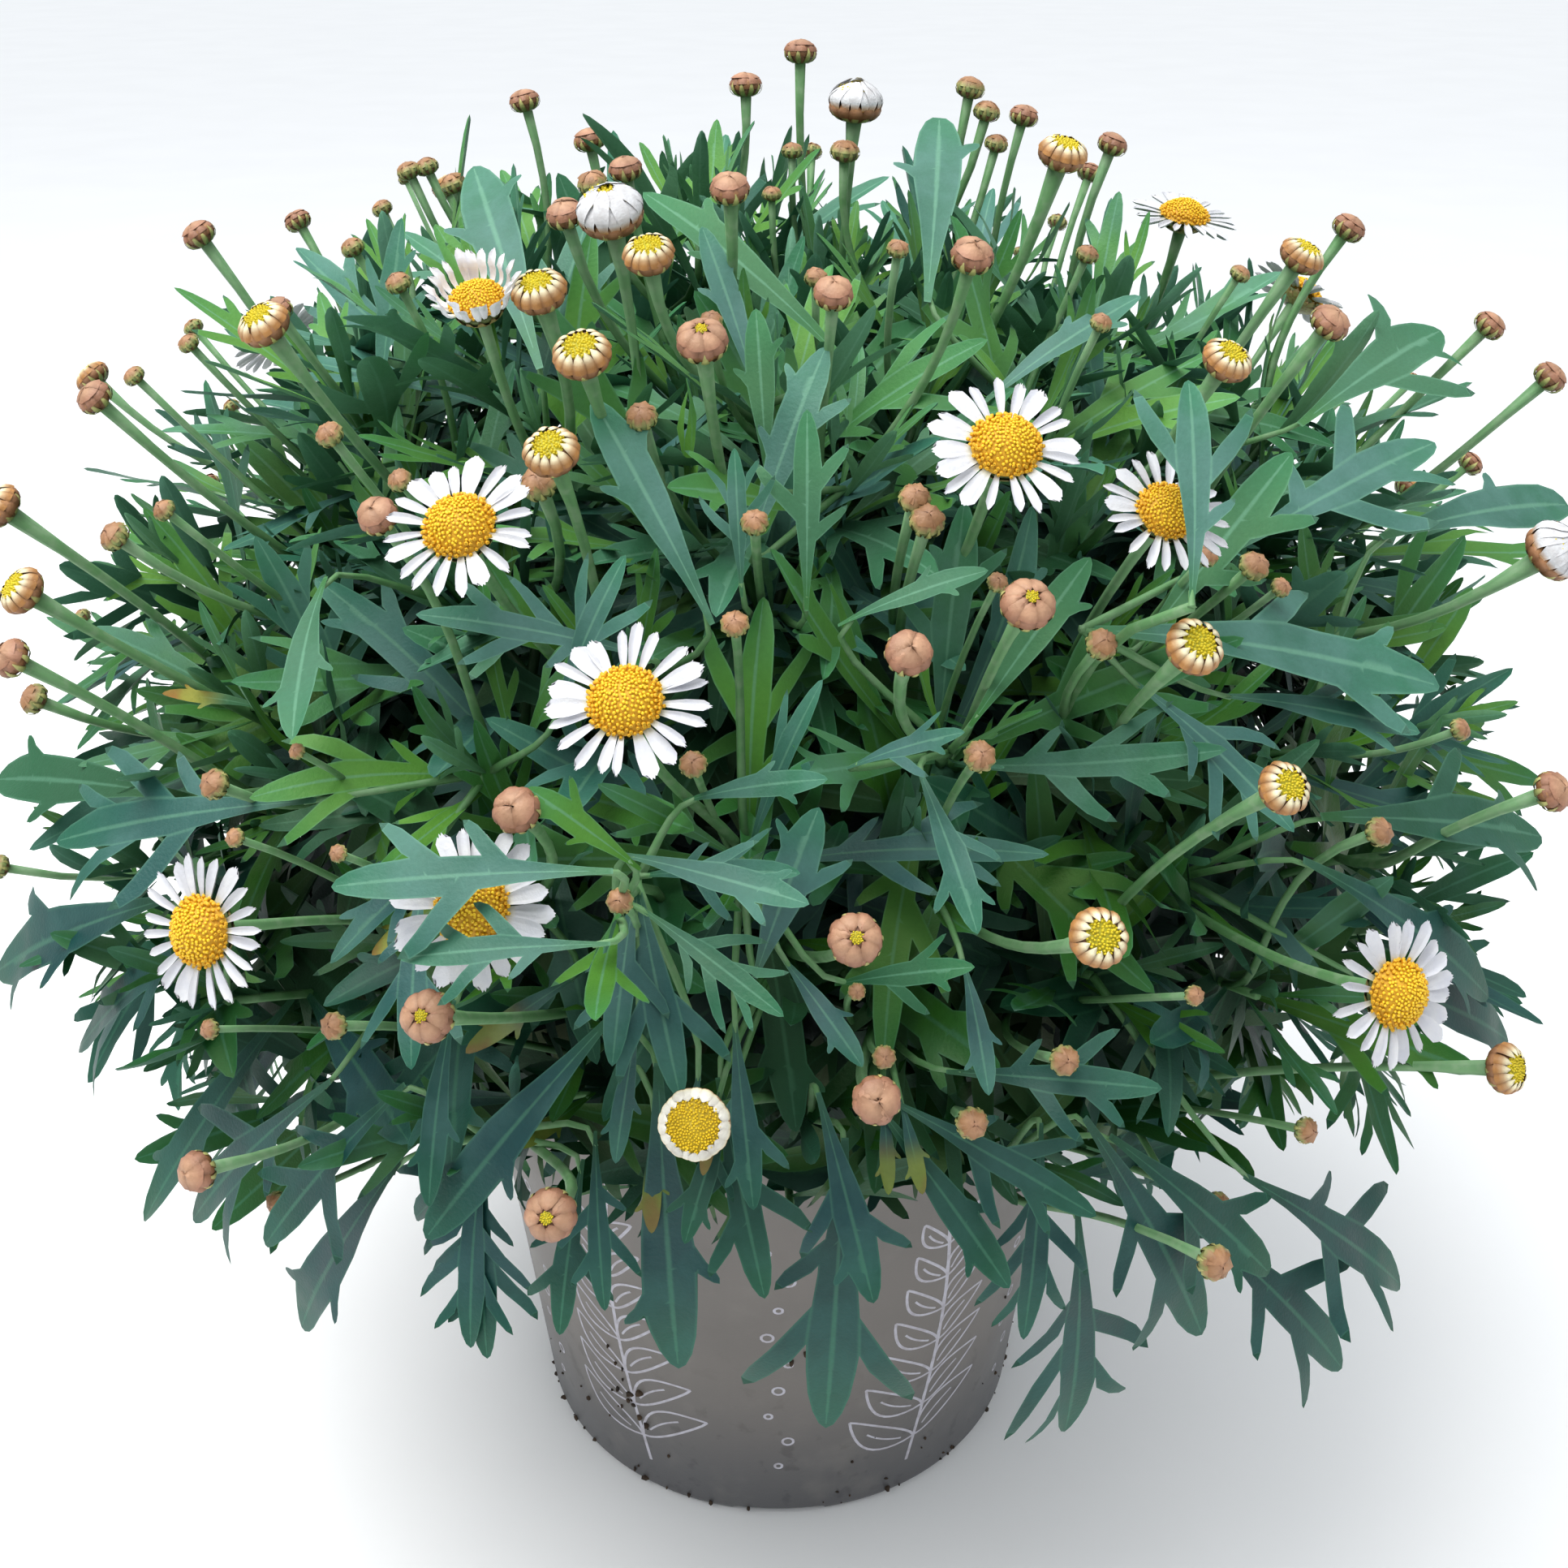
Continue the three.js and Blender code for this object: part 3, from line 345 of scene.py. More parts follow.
# Meshes
class Skin:
    """Points, triangles and point colours, gathered for one piece."""

    def __init__(self, *layers):
        self.layers = {name: [] for name in layers}
        self.points = []
        self.faces = []
        self.materials = []
        self.count = 0

    def add(self, points, faces, material=0, **layers):
        points = np.asarray(points, float).reshape(-1, 3)
        faces = np.asarray(faces, int).reshape(-1, 3)
        self.points.append(points)
        self.faces.append(faces + self.count)
        self.materials.append(np.full(len(faces), material))
        self.count += len(points)
        for name, parts in self.layers.items():
            values = np.broadcast_to(np.asarray(layers[name], float), (len(points), 3))
            parts.append(np.column_stack([values, np.ones(len(points))]))

    def make(self, name, materials, slot, nodes=()):
        points = np.concatenate(self.points) * MM
        faces = np.concatenate(self.faces).astype(np.int32)
        mesh = bpy.data.meshes.new(name)
        mesh.vertices.add(len(points))
        mesh.vertices.foreach_set("co", points.astype(np.float32).ravel())
        mesh.loops.add(faces.size)
        mesh.loops.foreach_set("vertex_index", faces.ravel())
        mesh.polygons.add(len(faces))
        mesh.polygons.foreach_set("loop_start", np.arange(0, faces.size, 3, dtype=np.int32))
        mesh.polygons.foreach_set("material_index", np.concatenate(self.materials).astype(np.int32))
        mesh.update(calc_edges=True)
        mesh.polygons.foreach_set("use_smooth", np.ones(len(faces), bool))
        for layer, parts in self.layers.items():
            colour = mesh.color_attributes.new(layer, "FLOAT_COLOR", "POINT")
            colour.data.foreach_set("color", np.concatenate(parts).astype(np.float32).ravel())
        for material in materials:
            mesh.materials.append(material)
        piece = bpy.data.objects.new(name, mesh)
        bpy.context.scene.collection.objects.link(piece)
        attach(piece, BODY)
        if nodes:
            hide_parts(*nodes)
        return piece


def grid_faces(rows, columns, closed=True):
    """Triangles over rows of points; closed joins the last column to the first."""
    spans = columns if closed else columns - 1
    r, c = np.meshgrid(np.arange(rows - 1), np.arange(spans), indexing="ij")
    a = (r * columns + c).ravel()
    b = (r * columns + (c + 1) % columns).ravel()
    lower = np.column_stack([a, b, b + columns])
    return np.concatenate([lower, np.column_stack([a, b + columns, a + columns])])


def cap_faces(start, columns, centre):
    around = np.arange(columns)
    return np.column_stack([start + around, start + (around + 1) % columns, np.full(columns, centre)])


def closed_faces(rows, columns, foot=False):
    """Triangles over rings, and over the last one to a centre point that comes after them all.

    With a foot the first ring is closed too, by a point of its own before that centre point.
    """
    centre = rows * columns
    faces = [grid_faces(rows, columns)]
    if foot:
        faces.append(cap_faces(0, columns, centre)[:, [1, 0, 2]])
        centre += 1
    return np.concatenate(faces + [cap_faces((rows - 1) * columns, columns, centre)])


def sides_along(points):
    """Two side vectors at each point of a path, without twist."""
    tangents = np.gradient(points, axis=0)
    tangents /= np.linalg.norm(tangents, axis=1)[:, None]
    first = sides_of(tangents[0])[0]
    sides = []
    for tangent in tangents:
        first = unit(first - tangent * first.dot(tangent))
        sides.append(first)
    return np.array(sides), np.cross(tangents, sides)


def add_rod(skin, path, radii, sides, shares, tone, rib=0.0):
    """A round or ribbed rod with closed ends, marked with its ribs and its share of the way."""
    path = np.asarray(path, float)
    first, second = sides_along(path)
    ridges = np.arange(sides) % 2
    angles = turns(sides)[None, :, None]
    reach = np.broadcast_to(radii, len(path))[:, None, None] * (1 - rib * ridges)[None, :, None]
    rings = path[:, None] + reach * (np.cos(angles) * first[:, None] + np.sin(angles) * second[:, None])
    points = np.concatenate([rings.reshape(-1, 3), path[:1], path[-1:]])
    along = np.append(np.repeat(np.linspace(*shares, len(path)), sides), shares)
    ribbed = np.append(np.tile(ridges * bool(rib), len(path)), (0, 0))
    skin.add(points, closed_faces(len(path), sides, foot=True), material=STALK_FINISH,
             form=np.column_stack([ribbed, along, 0 * along]), tone=tone)


def bezier(a, b, c, d, steps):
    t = np.linspace(0, 1, steps)[:, None]
    return (1 - t) ** 3 * a + 3 * (1 - t) ** 2 * t * b + 3 * (1 - t) * t * t * c + t ** 3 * d


# Leaf forms. Each is drawn flat, in shares of its length: a narrow foot, a body that widens
# towards the end, and lobes that point forward.
BODY_STATIONS = (0, 0.1, 0.25, 0.4, 0.55, 0.7, 0.8, 0.88, 0.94, 0.98, 1.0)
LOBED_HALF = (0.009, 0.014, 0.028, 0.048, 0.063, 0.066, 0.062, 0.051, 0.036, 0.019, 0.0)
PLAIN_HALF = (0.009, 0.015, 0.032, 0.055, 0.073, 0.081, 0.078, 0.066, 0.046, 0.024, 0.0)
SIDE_STATIONS = (0, 0.09, 0.2, 0.31, 0.42, 0.53, 0.64, 0.75, 0.85, 0.93, 0.98)
LOBE_SPINE = (0.35, 0.65, 0.88)
LOBE_HALF = (0.38, 0.31, 0.19)
LOBE_RIDGE = (0.2, 0.5, 0.8)
LOBE_FLARE = 0.85
LOBE_CLEAR = 0.025
# The mark of a point: 1 at the rim, 0 at the midrib, and this on the ridge of a lobe
RIDGE_MARK = 0.45


def lobe_points(half, side, at, length, base, angle, curl):
    """The outline round one lobe that bends by an angle, from its near side to the notch beyond."""
    start = math.radians(angle + curl / 2)
    bend = math.radians(curl)
    root = np.array((at, 0.8 * half(at)))
    flip = np.array((1, side))

    def spine(t, aside=0.0):
        end = start - bend * t
        reach = np.array((math.sin(start) - math.sin(end), math.cos(end) - math.cos(start))) / bend
        return (root + length * reach + aside * base * np.array((math.sin(end), -math.cos(end)))) * flip

    near = [spine(t, -w) for t, w in zip(LOBE_SPINE, LOBE_HALF)]
    far = [spine(t, w) for t, w in zip(LOBE_SPINE, LOBE_HALF)]
    return near + [spine(1.0)] + far[::-1], [spine(t) for t in LOBE_RIDGE]


def leaf_form(width, lobes, stations=SIDE_STATIONS):
    """The flat points of a leaf, their marks, and the triangles between them."""
    def half(s):
        return width * float(np.interp(s, BODY_STATIONS, LOBED_HALF if lobes else PLAIN_HALF))

    rims = {}
    ridges = []
    for side in (1, -1):
        own = sorted((lobe for lobe in lobes if lobe[0] == side), key=lambda lobe: lobe[1])
        spans = [(at - LOBE_FLARE * base, at + base / 2) for _, at, _, base, *_ in own]
        runs = []
        for s in stations:
            if not any(low - LOBE_CLEAR < s < high + LOBE_CLEAR for low, high in spans):
                runs.append((s, [np.array((s, side * half(s)))]))
        for lobe, (low, high) in zip(own, spans):
            outline, ridge = lobe_points(half, *lobe)
            start = np.array((low, side * half(low)))
            end = np.array((high, side * half(high) * 1.05))
            runs.append((lobe[1], [start] + outline + [end]))
            ridges += ridge
        rims[side] = [p for _, run in sorted(runs, key=lambda item: item[0]) for p in run]
    rim = rims[1] + [np.array((1.0, 0.0))] + rims[-1][::-1]
    rib = [np.array((s, 0.0)) for s in stations[1:]]
    flat = rim + rib + ridges
    ridge_start = len(rim) + len(rib)
    breaks = {ridge_start + k * len(LOBE_RIDGE) - 1 for k in range(len(lobes) + 1)}
    edges = [(k, k + 1) for k in range(len(rim), len(flat) - 1) if k not in breaks]
    outline = list(range(len(rim)))[::-1]
    points, _, faces, sources, _, _ = delaunay_2d_cdt(
        [tuple(map(float, p)) for p in flat], edges, [outline], 1, 1e-6)
    kinds = [1.0] * len(rim) + [0.0] * len(rib) + [RIDGE_MARK] * len(ridges)
    marks = [kinds[source[0] if source else 0] for source in sources]
    faces = np.array([f for f in faces if len(f) == 3])
    flat = np.array([tuple(p) for p in points])
    a, b, c = (flat[faces[:, k]] for k in range(3))
    turned_over = np.cross(b - a, c - a) < 0
    faces[turned_over] = faces[turned_over][:, ::-1]
    return {"flat": flat, "rim": np.array(marks), "faces": faces}


# Each lobe: side, place along the leaf, length, width at its root, angle from the midrib, and
# the angle by which its end turns back towards the leaf's tip
FORMS = [
    leaf_form(1.1, [(1, 0.5, 0.28, 0.095, 40, 34), (1, 0.79, 0.11, 0.06, 44, 16),
                    (-1, 0.65, 0.22, 0.085, 42, 20)]),
    leaf_form(1.0, [(1, 0.41, 0.19, 0.07, 50, 26), (1, 0.67, 0.22, 0.085, 40, 26),
                    (-1, 0.53, 0.29, 0.095, 42, 36)]),
    leaf_form(0.95, [(1, 0.47, 0.28, 0.085, 45, 38), (1, 0.72, 0.17, 0.075, 42, 20),
                     (-1, 0.36, 0.15, 0.065, 54, 24), (-1, 0.6, 0.27, 0.085, 41, 32)]),
    leaf_form(1.25, [(1, 0.66, 0.2, 0.085, 40, 28), (-1, 0.5, 0.11, 0.055, 50, 20),
                     (-1, 0.8, 0.1, 0.055, 46, 16)]),
    leaf_form(1.15, [(-1, 0.5, 0.24, 0.08, 44, 36), (1, 0.72, 0.17, 0.075, 40, 18),
                     (-1, 0.8, 0.1, 0.055, 46, 14)]),
    leaf_form(1.1, [(1, 0.76, 0.09, 0.055, 48, 14), (-1, 0.6, 0.1, 0.055, 48, 18)]),
    leaf_form(0.9, [(1, 0.38, 0.24, 0.065, 46, -24), (1, 0.57, 0.32, 0.08, 38, 32),
                    (1, 0.77, 0.19, 0.06, 34, 12), (-1, 0.47, 0.31, 0.08, 42, 34),
                    (-1, 0.68, 0.25, 0.07, 35, -16)]),
    leaf_form(1.0, [(1, 0.36, 0.17, 0.065, 46, 20), (1, 0.6, 0.34, 0.095, 31, 36),
                    (-1, 0.63, 0.32, 0.095, 32, 30)]),
]
YOUNG_STATIONS = (0, 0.12, 0.26, 0.4, 0.54, 0.68, 0.82, 0.92, 0.98)
YOUNG_FORMS = [
    leaf_form(1.0, [(1, 0.52, 0.27, 0.09, 35, 28), (-1, 0.64, 0.23, 0.085, 33, -14)], YOUNG_STATIONS),
    leaf_form(0.95, [], YOUNG_STATIONS),
    leaf_form(0.9, [(1, 0.43, 0.28, 0.085, 37, -20), (-1, 0.57, 0.28, 0.085, 35, 30)], YOUNG_STATIONS),
]
# How often each of the forms comes up
YOUNG_ODDS = (0.4, 0.2, 0.4)
FORM_ODDS = (0.16, 0.17, 0.18, 0.07, 0.11, 0.07, 0.12, 0.12)


def bent(s, arch):
    """How far along and how far down a point lies on a strip that bends evenly by an angle."""
    safe = np.where(np.abs(arch) < 1e-3, 1e-3, arch)
    return np.sin(safe * s) / safe, (np.cos(safe * s) - 1) / safe


def along_leaf(leaf, shares):
    """Places on the middle line of a bent leaf, at shares of its length."""
    forward = unit(leaf["forward"])
    top = np.cross(unit(np.cross(forward, leaf["face"])), forward)
    along, down = bent(np.array(shares), leaf["arch"])
    return leaf["foot"] + leaf["length"] * (along[:, None] * forward + down[:, None] * top)


def lay_leaves(skin, form, leaves):
    """Adds one closed blade of the same form for each leaf, bent, folded and twisted."""
    flat, rim, faces = form["flat"], form["rim"], form["faces"]

    def each(key):
        return np.array([leaf[key] for leaf in leaves], float)[:, None]

    s = flat[None, :, 0]
    y = flat[None, :, 1] * each("width")
    forward = each("forward") / np.linalg.norm(each("forward"), axis=-1, keepdims=True)
    side = np.cross(forward, each("face"))
    side /= np.linalg.norm(side, axis=-1, keepdims=True)
    top = np.cross(side, forward)
    along, down = bent(s, each("arch"))
    bend = (each("arch") * s)[..., None]
    twist = (each("twist") * s)[..., None]
    lift = np.sin(bend) * forward + np.cos(bend) * top
    across = np.cos(twist) * side + np.sin(twist) * lift
    normal = np.cos(twist) * lift - np.sin(twist) * side
    fold = each("fold")
    wave = each("wave") * np.sin(FULL_TURN * (1.6 * s + each("phase"))) * np.abs(y)
    height = fold * np.abs(y) - 5.0 * fold * y * y + wave
    sway = y + each("sweep") * s * s
    upper = each("foot")
    for share, way in ((along, forward), (down, top), (sway, across), (height, normal)):
        upper = upper + (each("length") * share)[..., None] * way
    lower = upper - LEAF["thickness"] * (1 - rim)[None, :, None] * normal
    size = len(flat)
    start = (2 * size * np.arange(len(leaves)))[:, None, None]
    both = np.concatenate([faces, faces[:, ::-1] + size])
    marks = np.column_stack([np.tile(rim, 2), np.tile(flat[:, 0], 2), np.repeat((0.0, 1.0), size)])
    tone = np.column_stack([each("hue"), each("light"), each("age")])
    skin.add(np.concatenate([upper, lower], axis=1), both[None] + start,
             form=np.tile(marks, (len(leaves), 1)), tone=np.repeat(tone, 2 * size, axis=0))


# Branches, shoots and what grows on them
def lay_branches():
    branches = []
    for i in range(BRANCHES["count"]):
        direction, share, angle = on_dome(BRANCHES["count"], BRANCHES["lowest"], i)
        radius = BRANCHES["root_spread"] * math.sqrt(share)
        branches.append({
            "name": f"{i + 1:02d}",
            "root": np.array((radius * math.cos(angle), radius * math.sin(angle), 0)),
            "heart": shell_point(DOME, direction, BRANCHES["heart"]),
            "shoots": [],
            "framed": [],
            "plant": Skin("form", "tone"),
            "heads": Skin("colour"),
        })
    return branches


def leafage(out):
    """The shell of the outermost leaves, moved out by a stand-off."""
    return {key: value + (out if key != "middle" else 0) for key, value in LEAFAGE.items()}


def add_shoot(shoots, branches, tip, **traits):
    """Adds a shoot to the branch whose heart is nearest."""
    branch = min(branches, key=lambda b: np.linalg.norm(b["heart"] - tip))
    shoot = {"tip": tip, "branch": branch, **traits}
    branch["shoots"].append(shoot)
    shoots.append(shoot)


def lay_shoots(branches, rng):
    """Shoots all over the dome, then fewer inside it, then those that stand before the others."""
    shoots = []
    for inner, count in ((False, SHOOTS["count"]), (True, SHOOTS["inner"])):
        full = SHOOTS["inner_leaves" if inner else "leaves"]
        for i in range(count):
            direction, _, _ = on_dome(count, SHOOTS["lowest"], i, rng.uniform(-0.12, 0.12))
            rise = direction[2]
            high = smooth_step(-0.1, 0.5, rise)
            usual_reach = blend(SHOOTS["nearest"], SHOOTS["furthest"], rng.uniform(0, 1) ** 0.7)
            reach = SHOOTS["inner_share"] if inner else usual_reach - 0.06 * high
            tip = shell_point(DOME, direction, reach)
            stray = np.array([rng.uniform(-1, 1) for _ in range(3)]) * SHOOTS["stray"]
            spread = blend(SHOOTS["outer_tilt"], SHOOTS["top_tilt"], smooth_step(0.1, 0.75, rise))
            add_shoot(shoots, branches, tip, axis=unit(unit(tip - SHOOTS["centre"] * UP) + stray),
                      droop=SHOOTS["droop"] * smooth_step(0.35, -0.6, rise), spread=spread,
                      load=0, inner=inner, full=full, leaves=full, high=high)
    for u, v, out, leaves in CLEAR_SHOOTS:
        tip = seen_point(leafage(out), u, v)
        add_shoot(shoots, branches, tip, axis=outward(tip), droop=0.1, spread=80, load=3,
                  inner=False, full=SHOOTS["leaves"], leaves=leaves, high=0)
    return shoots


def soil_height(radius):
    return SOIL_TOP + SOIL["crown"] * (1 - (radius / POT["base"]) ** 2)


def stem_path(branch):
    """From below the soil straight up, then leaning out to the branch's heart."""
    root, heart = branch["root"], branch["heart"]
    top = soil_height(np.linalg.norm(root)) + SOIL["crown"]
    lean = root * 1.15 + UP * ((top + heart[2]) / 2 + 18)
    t = np.linspace(0, 1, 9)[:, None]
    rising = (1 - t) ** 2 * (root + UP * top) + 2 * (1 - t) * t * lean + t * t * heart
    return np.concatenate([[root + UP * BRANCHES["foot"]], rising])


def draw_leaf(shoot, j, rng):
    """The form and place of a shoot's leaf, from the young ones at its tip to the old ones below."""
    share = (j + 0.5) / shoot["full"]
    axis = shoot["axis"]
    a, b = sides_of(axis)
    swing = j * GOLDEN_ANGLE + rng.uniform(-LEAF["swing"], LEAF["swing"])
    usual_tilt = blend(SHOOTS["inner_tilt"], shoot["spread"], share ** 0.65)
    tilt = math.radians(usual_tilt + rng.gauss(0, LEAF["tilt_spread"]))
    sideways = a * math.cos(swing) + b * math.sin(swing)
    forward = unit(axis * math.cos(tilt) + sideways * math.sin(tilt) - shoot["droop"] * share * UP)
    grown = min(1, share / LEAF["grown_at"])
    stray = np.array([rng.uniform(-1, 1) for _ in range(3)]) * LEAF["stray"]
    face = axis + 0.45 * UP + stray
    young = share < SHOOTS["young"] or shoot["inner"]
    forms, odds = (YOUNG_FORMS, YOUNG_ODDS) if young else (FORMS, FORM_ODDS)
    # The light value paints light and shade, partly real: leaves at a shoot's tip and inside the bush,
    # young ones that light shines through, are painted fresher and brighter, and lower ones darker
    usual_light = 0.7 if shoot["inner"] else 1.1 - 1.3 * share
    return (young, rng.choices(range(len(forms)), odds)[0]), {
        "foot": shoot["tip"] - axis * SHOOTS["run"] * share + forward * LEAF["foot"],
        "forward": forward,
        "face": face,
        "length": blend(LEAF["shortest"], LEAF["longest"], grown) * rng.uniform(*LEAF["length"]),
        "width": rng.uniform(*LEAF["width"]) * blend(1, LEAF["top_width"], shoot["high"]),
        "arch": blend(*LEAF["arch"], share) + rng.gauss(0, LEAF["arch_spread"]),
        "fold": rng.uniform(*LEAF["fold"]),
        "twist": rng.gauss(0, LEAF["twist_spread"]),
        "wave": rng.uniform(*LEAF["wave"]),
        "phase": rng.random(),
        "sweep": rng.gauss(0, LEAF["sweep_spread"]),
        "hue": blend(0.6, 1, rng.random()) if shoot["inner"] else rng.random(),
        "light": np.clip(usual_light + rng.gauss(0, LEAF["light_spread"]), 0, 1),
        "age": 0.0,
    }


def frame_leaf(shoots, seen, form, hue, age, rng, out=0):
    """Adds to a branch a leaf by its foot and tip in the front view, and the twig that holds it."""
    sunk = FRAMED["old_deep"] * age
    shell = leafage(out)
    foot = seen_point(shell, seen[0], seen[1])
    foot = foot - (FRAMED["deep"] + sunk - FRAMED["clear_share"] * out) * outward(foot)
    tip = seen_point(shell, seen[2], seen[3])
    tip = tip - sunk * outward(tip)

    def on_axis(shoot):
        run = np.clip(np.dot(shoot["tip"] - foot, shoot["axis"]), 0, SHOOTS["run"])
        return shoot["tip"] - run * shoot["axis"]

    shoot = min(shoots, key=lambda shoot: np.linalg.norm(on_axis(shoot) - foot))
    start = on_axis(shoot)
    higher = smooth_step(*FRAMED["rows"], seen[3])
    longer = FRAMED["clear_longer"] if out else blend(*FRAMED["longer"], higher)
    length = min(np.linalg.norm(tip - foot) * longer, FRAMED["longest"] * LEAF["longest"])
    way = unit(tip - foot)
    foot = tip - way * length
    gap = np.linalg.norm(foot - start)
    if gap < FRAMED["clear_gap" if out else "gap"] * length:
        foot = start
        length = np.linalg.norm(tip - start)
        way = unit(tip - start)
    arch = FRAMED["arch"]
    face = unit(outward(tip) + 0.8 * UP)
    face = face - way * np.dot(face, way)
    twig = bezier(start, start + 0.4 * (foot - start), foot - 0.2 * gap * way, foot + 3 * way,
                  FRAMED["twig_steps"])
    shoot["branch"]["framed"].append((form, twig, {
        "foot": foot, "forward": way + 0.5 * arch * face, "face": face, "length": length * 1.03,
        "width": rng.uniform(*FRAMED["width"]), "arch": arch, "fold": FRAMED["fold"],
        "twist": rng.gauss(0, FRAMED["twist_spread"]), "wave": FRAMED["wave"],
        "phase": rng.random(), "sweep": 0.0, "hue": hue, "light": 0.6 * (hue > 0.9), "age": age,
    }))


def hangs_low(leaf):
    """True for a leaf on the near side whose end lies below the skirt."""
    for x, y, z in along_leaf(leaf, (0.6, 1.0)):
        radius = math.hypot(x, y)
        lowest = SKIRT["height"] + SKIRT["rise"] * (radius - POT["rim"])
        if -y > SKIRT["front"] * radius and z < lowest:
            return True
    return False


def covers(leaf, heads):
    """True for a leaf that would stand before an open head or run through any head."""
    for place in along_leaf(leaf, (0.35, 0.6, 0.8, 1.0)):
        offset = place - heads["centre"]
        ahead = np.sum(offset * heads["axis"], axis=1)
        aside = np.linalg.norm(offset - ahead[:, None] * heads["axis"], axis=1)
        if np.any((ahead > -3) & (ahead < heads["clear"]) & (aside < heads["reach"])):
            return True
    return False


# Heads
GREEN = np.array((0.13, 0.22, 0.07))
BRACT = np.array((0.3, 0.33, 0.11))
PALE_TIP = np.array((0.5, 0.47, 0.17))
BROWN = np.array((0.14, 0.055, 0.02))
TAN = np.array((0.34, 0.17, 0.07))
PEACH = np.array((0.48, 0.28, 0.168))
ROSE = np.array((0.37, 0.18, 0.11))
CREAM = np.array((0.85, 0.78, 0.52))
WHITE = np.array((0.6, 0.605, 0.62))
LIME = np.array((0.55, 0.5, 0.02))
YELLOW = np.array((0.84, 0.53, 0.008))
ORANGE = np.array((0.74, 0.3, 0.006))
FLORET_TIP = np.array((0.95, 0.7, 0.03))
FLORET_GAP_SHADE = blend(ORANGE, YELLOW, 0.6) * 0.8
RAY_FOOT = np.array((0.65, 0.62, 0.28))
CUP_RAY_FOOT = np.array((0.5, 0.22, 0.03))

# Rows of scales that wrap a head, from its foot to its top in shares of the way over the globe:
# start, end, number in the row, width against the room it has, bulge, stand-off, tip shape
BUD_SCALES = [(0.3, 0.8, 9, 1.2, 0.08, 0.0, 2.6), (0.46, 0.97, 8, 1.2, 0.13, 0.01, 5.0),
              (0.66, 1.12, 3, 1.15, 0.08, 0.13, 3.2)]
SPOT_SCALES = [(0.25, 0.74, 10, 1.2, 0.08, 0.0, 2.6), (0.42, 0.86, 9, 1.2, 0.12, 0.02, 6.0),
               (0.6, 0.93, 7, 1.2, 0.1, 0.07, 7.0)]
RING_SCALES = [(0.2, 0.62, 12, 1.2, 0.05, 0.02, 2.6), (0.45, 0.81, 14, 1.08, 0.07, 0.03, 5.0)]
CROWN_SCALES = [(0.2, 0.58, 14, 1.2, 0.04, 0.02, 2.6), (0.42, 0.71, 21, 1.5, 0.05, 0.03, 8.0)]
BRACTS = (0.0, 0.57, 10, 0.78, 0.03, 0.17, 1.7)
OPEN_BRACTS = (0.0, 0.42, 11, 0.8, 0.03, 0.06, 1.7)
LOW = -1.15
HEAD_TALL = 1.42
# A head with a narrower body than this has scales of fewer points and paler colours
FINE_HALF = 3.4
CUP_RAYS = 17


def globe(half, t, tall=HEAD_TALL):
    """Half width and height on a flattened globe, from its foot at 0 to its top at 1."""
    angle = blend(LOW, math.pi / 2, t)
    return half * np.cos(angle), half * tall * (np.sin(angle) - math.sin(LOW)) / (1 - math.sin(LOW))


def set_on(skin, place, axis, points, faces, colour):
    """Adds a part that is drawn round +Z to a head, at its place and along its axis."""
    side = sides_of(axis)[0]
    x, y, z = np.reshape(points, (-1, 3)).T[..., None]
    skin.add(place + x * side + y * np.cross(axis, side) + z * axis, faces, colour=colour)


def add_core(skin, place, axis, half, top, colour, tall=HEAD_TALL, columns=14):
    """The body of a head under its scales, closed at the given share of the way over."""
    t = np.linspace(0, top, 6)[:, None]
    radius, height = globe(half * 0.97, t, tall)
    rows = circle(radius, turns(columns), height)
    points = np.concatenate([rows.reshape(-1, 3), [[0, 0, height[-1, 0]]]])
    set_on(skin, place, axis, points, closed_faces(len(rows), columns), colour)


def add_scales(skin, place, axis, half, row, paint, rng, tall=HEAD_TALL, fine=True):
    """One row of overlapping scales; paint gives a colour for the share along and across."""
    start, end, count, width, bulge, off, shape = row
    high, wide = (5, 5) if fine else (4, 3)
    t = np.linspace(0, 1, high)[:, None]
    u = np.linspace(-1, 1, wide)[None, :]
    faces = grid_faces(high, wide, closed=False)
    phase = rng.random() * FULL_TURN
    for k in range(count):
        long = (end - start) * rng.uniform(0.9, 1.02)
        radius, height = globe(half * rng.uniform(0.98, 1.03), start + long * t, tall)
        turn = phase + FULL_TURN * (k + rng.uniform(-0.1, 0.1)) / count
        turn = turn + math.pi / count * width * (1 - 0.93 * t ** shape) * u
        lump = half * (off * (1 - 0.5 * t) + bulge * (1 - u * u) * (1 - 0.6 * t ** 4))
        radius = radius + lump * np.clip(radius / half * 1.4, 0.1, 1)
        height = height + 0.8 * lump * smooth_step(0.5, 1.0, start + long * t)
        colour = paint(t + 0 * u, np.abs(u) + 0 * t, rng.random()).reshape(-1, 3)
        set_on(skin, place, axis, circle(radius, turn, height), faces, colour)


def layered(seam, *stops):
    """A colour along a scale from stops of share and colour, darker in the seam at its edge."""
    shares = np.array([share for share, _ in stops])
    colours = np.array([colour for _, colour in stops])

    def paint(t, across, warm):
        body = np.stack([np.interp(t, shares, colours[:, k]) for k in range(3)], axis=-1)
        body = body * blend(0.82, 1.12, warm)
        edge = (smooth_step(0.35, 0.9, across) * (1 - 0.6 * t ** 2))[..., None]
        return blend(body, BROWN, seam * edge)
    return paint


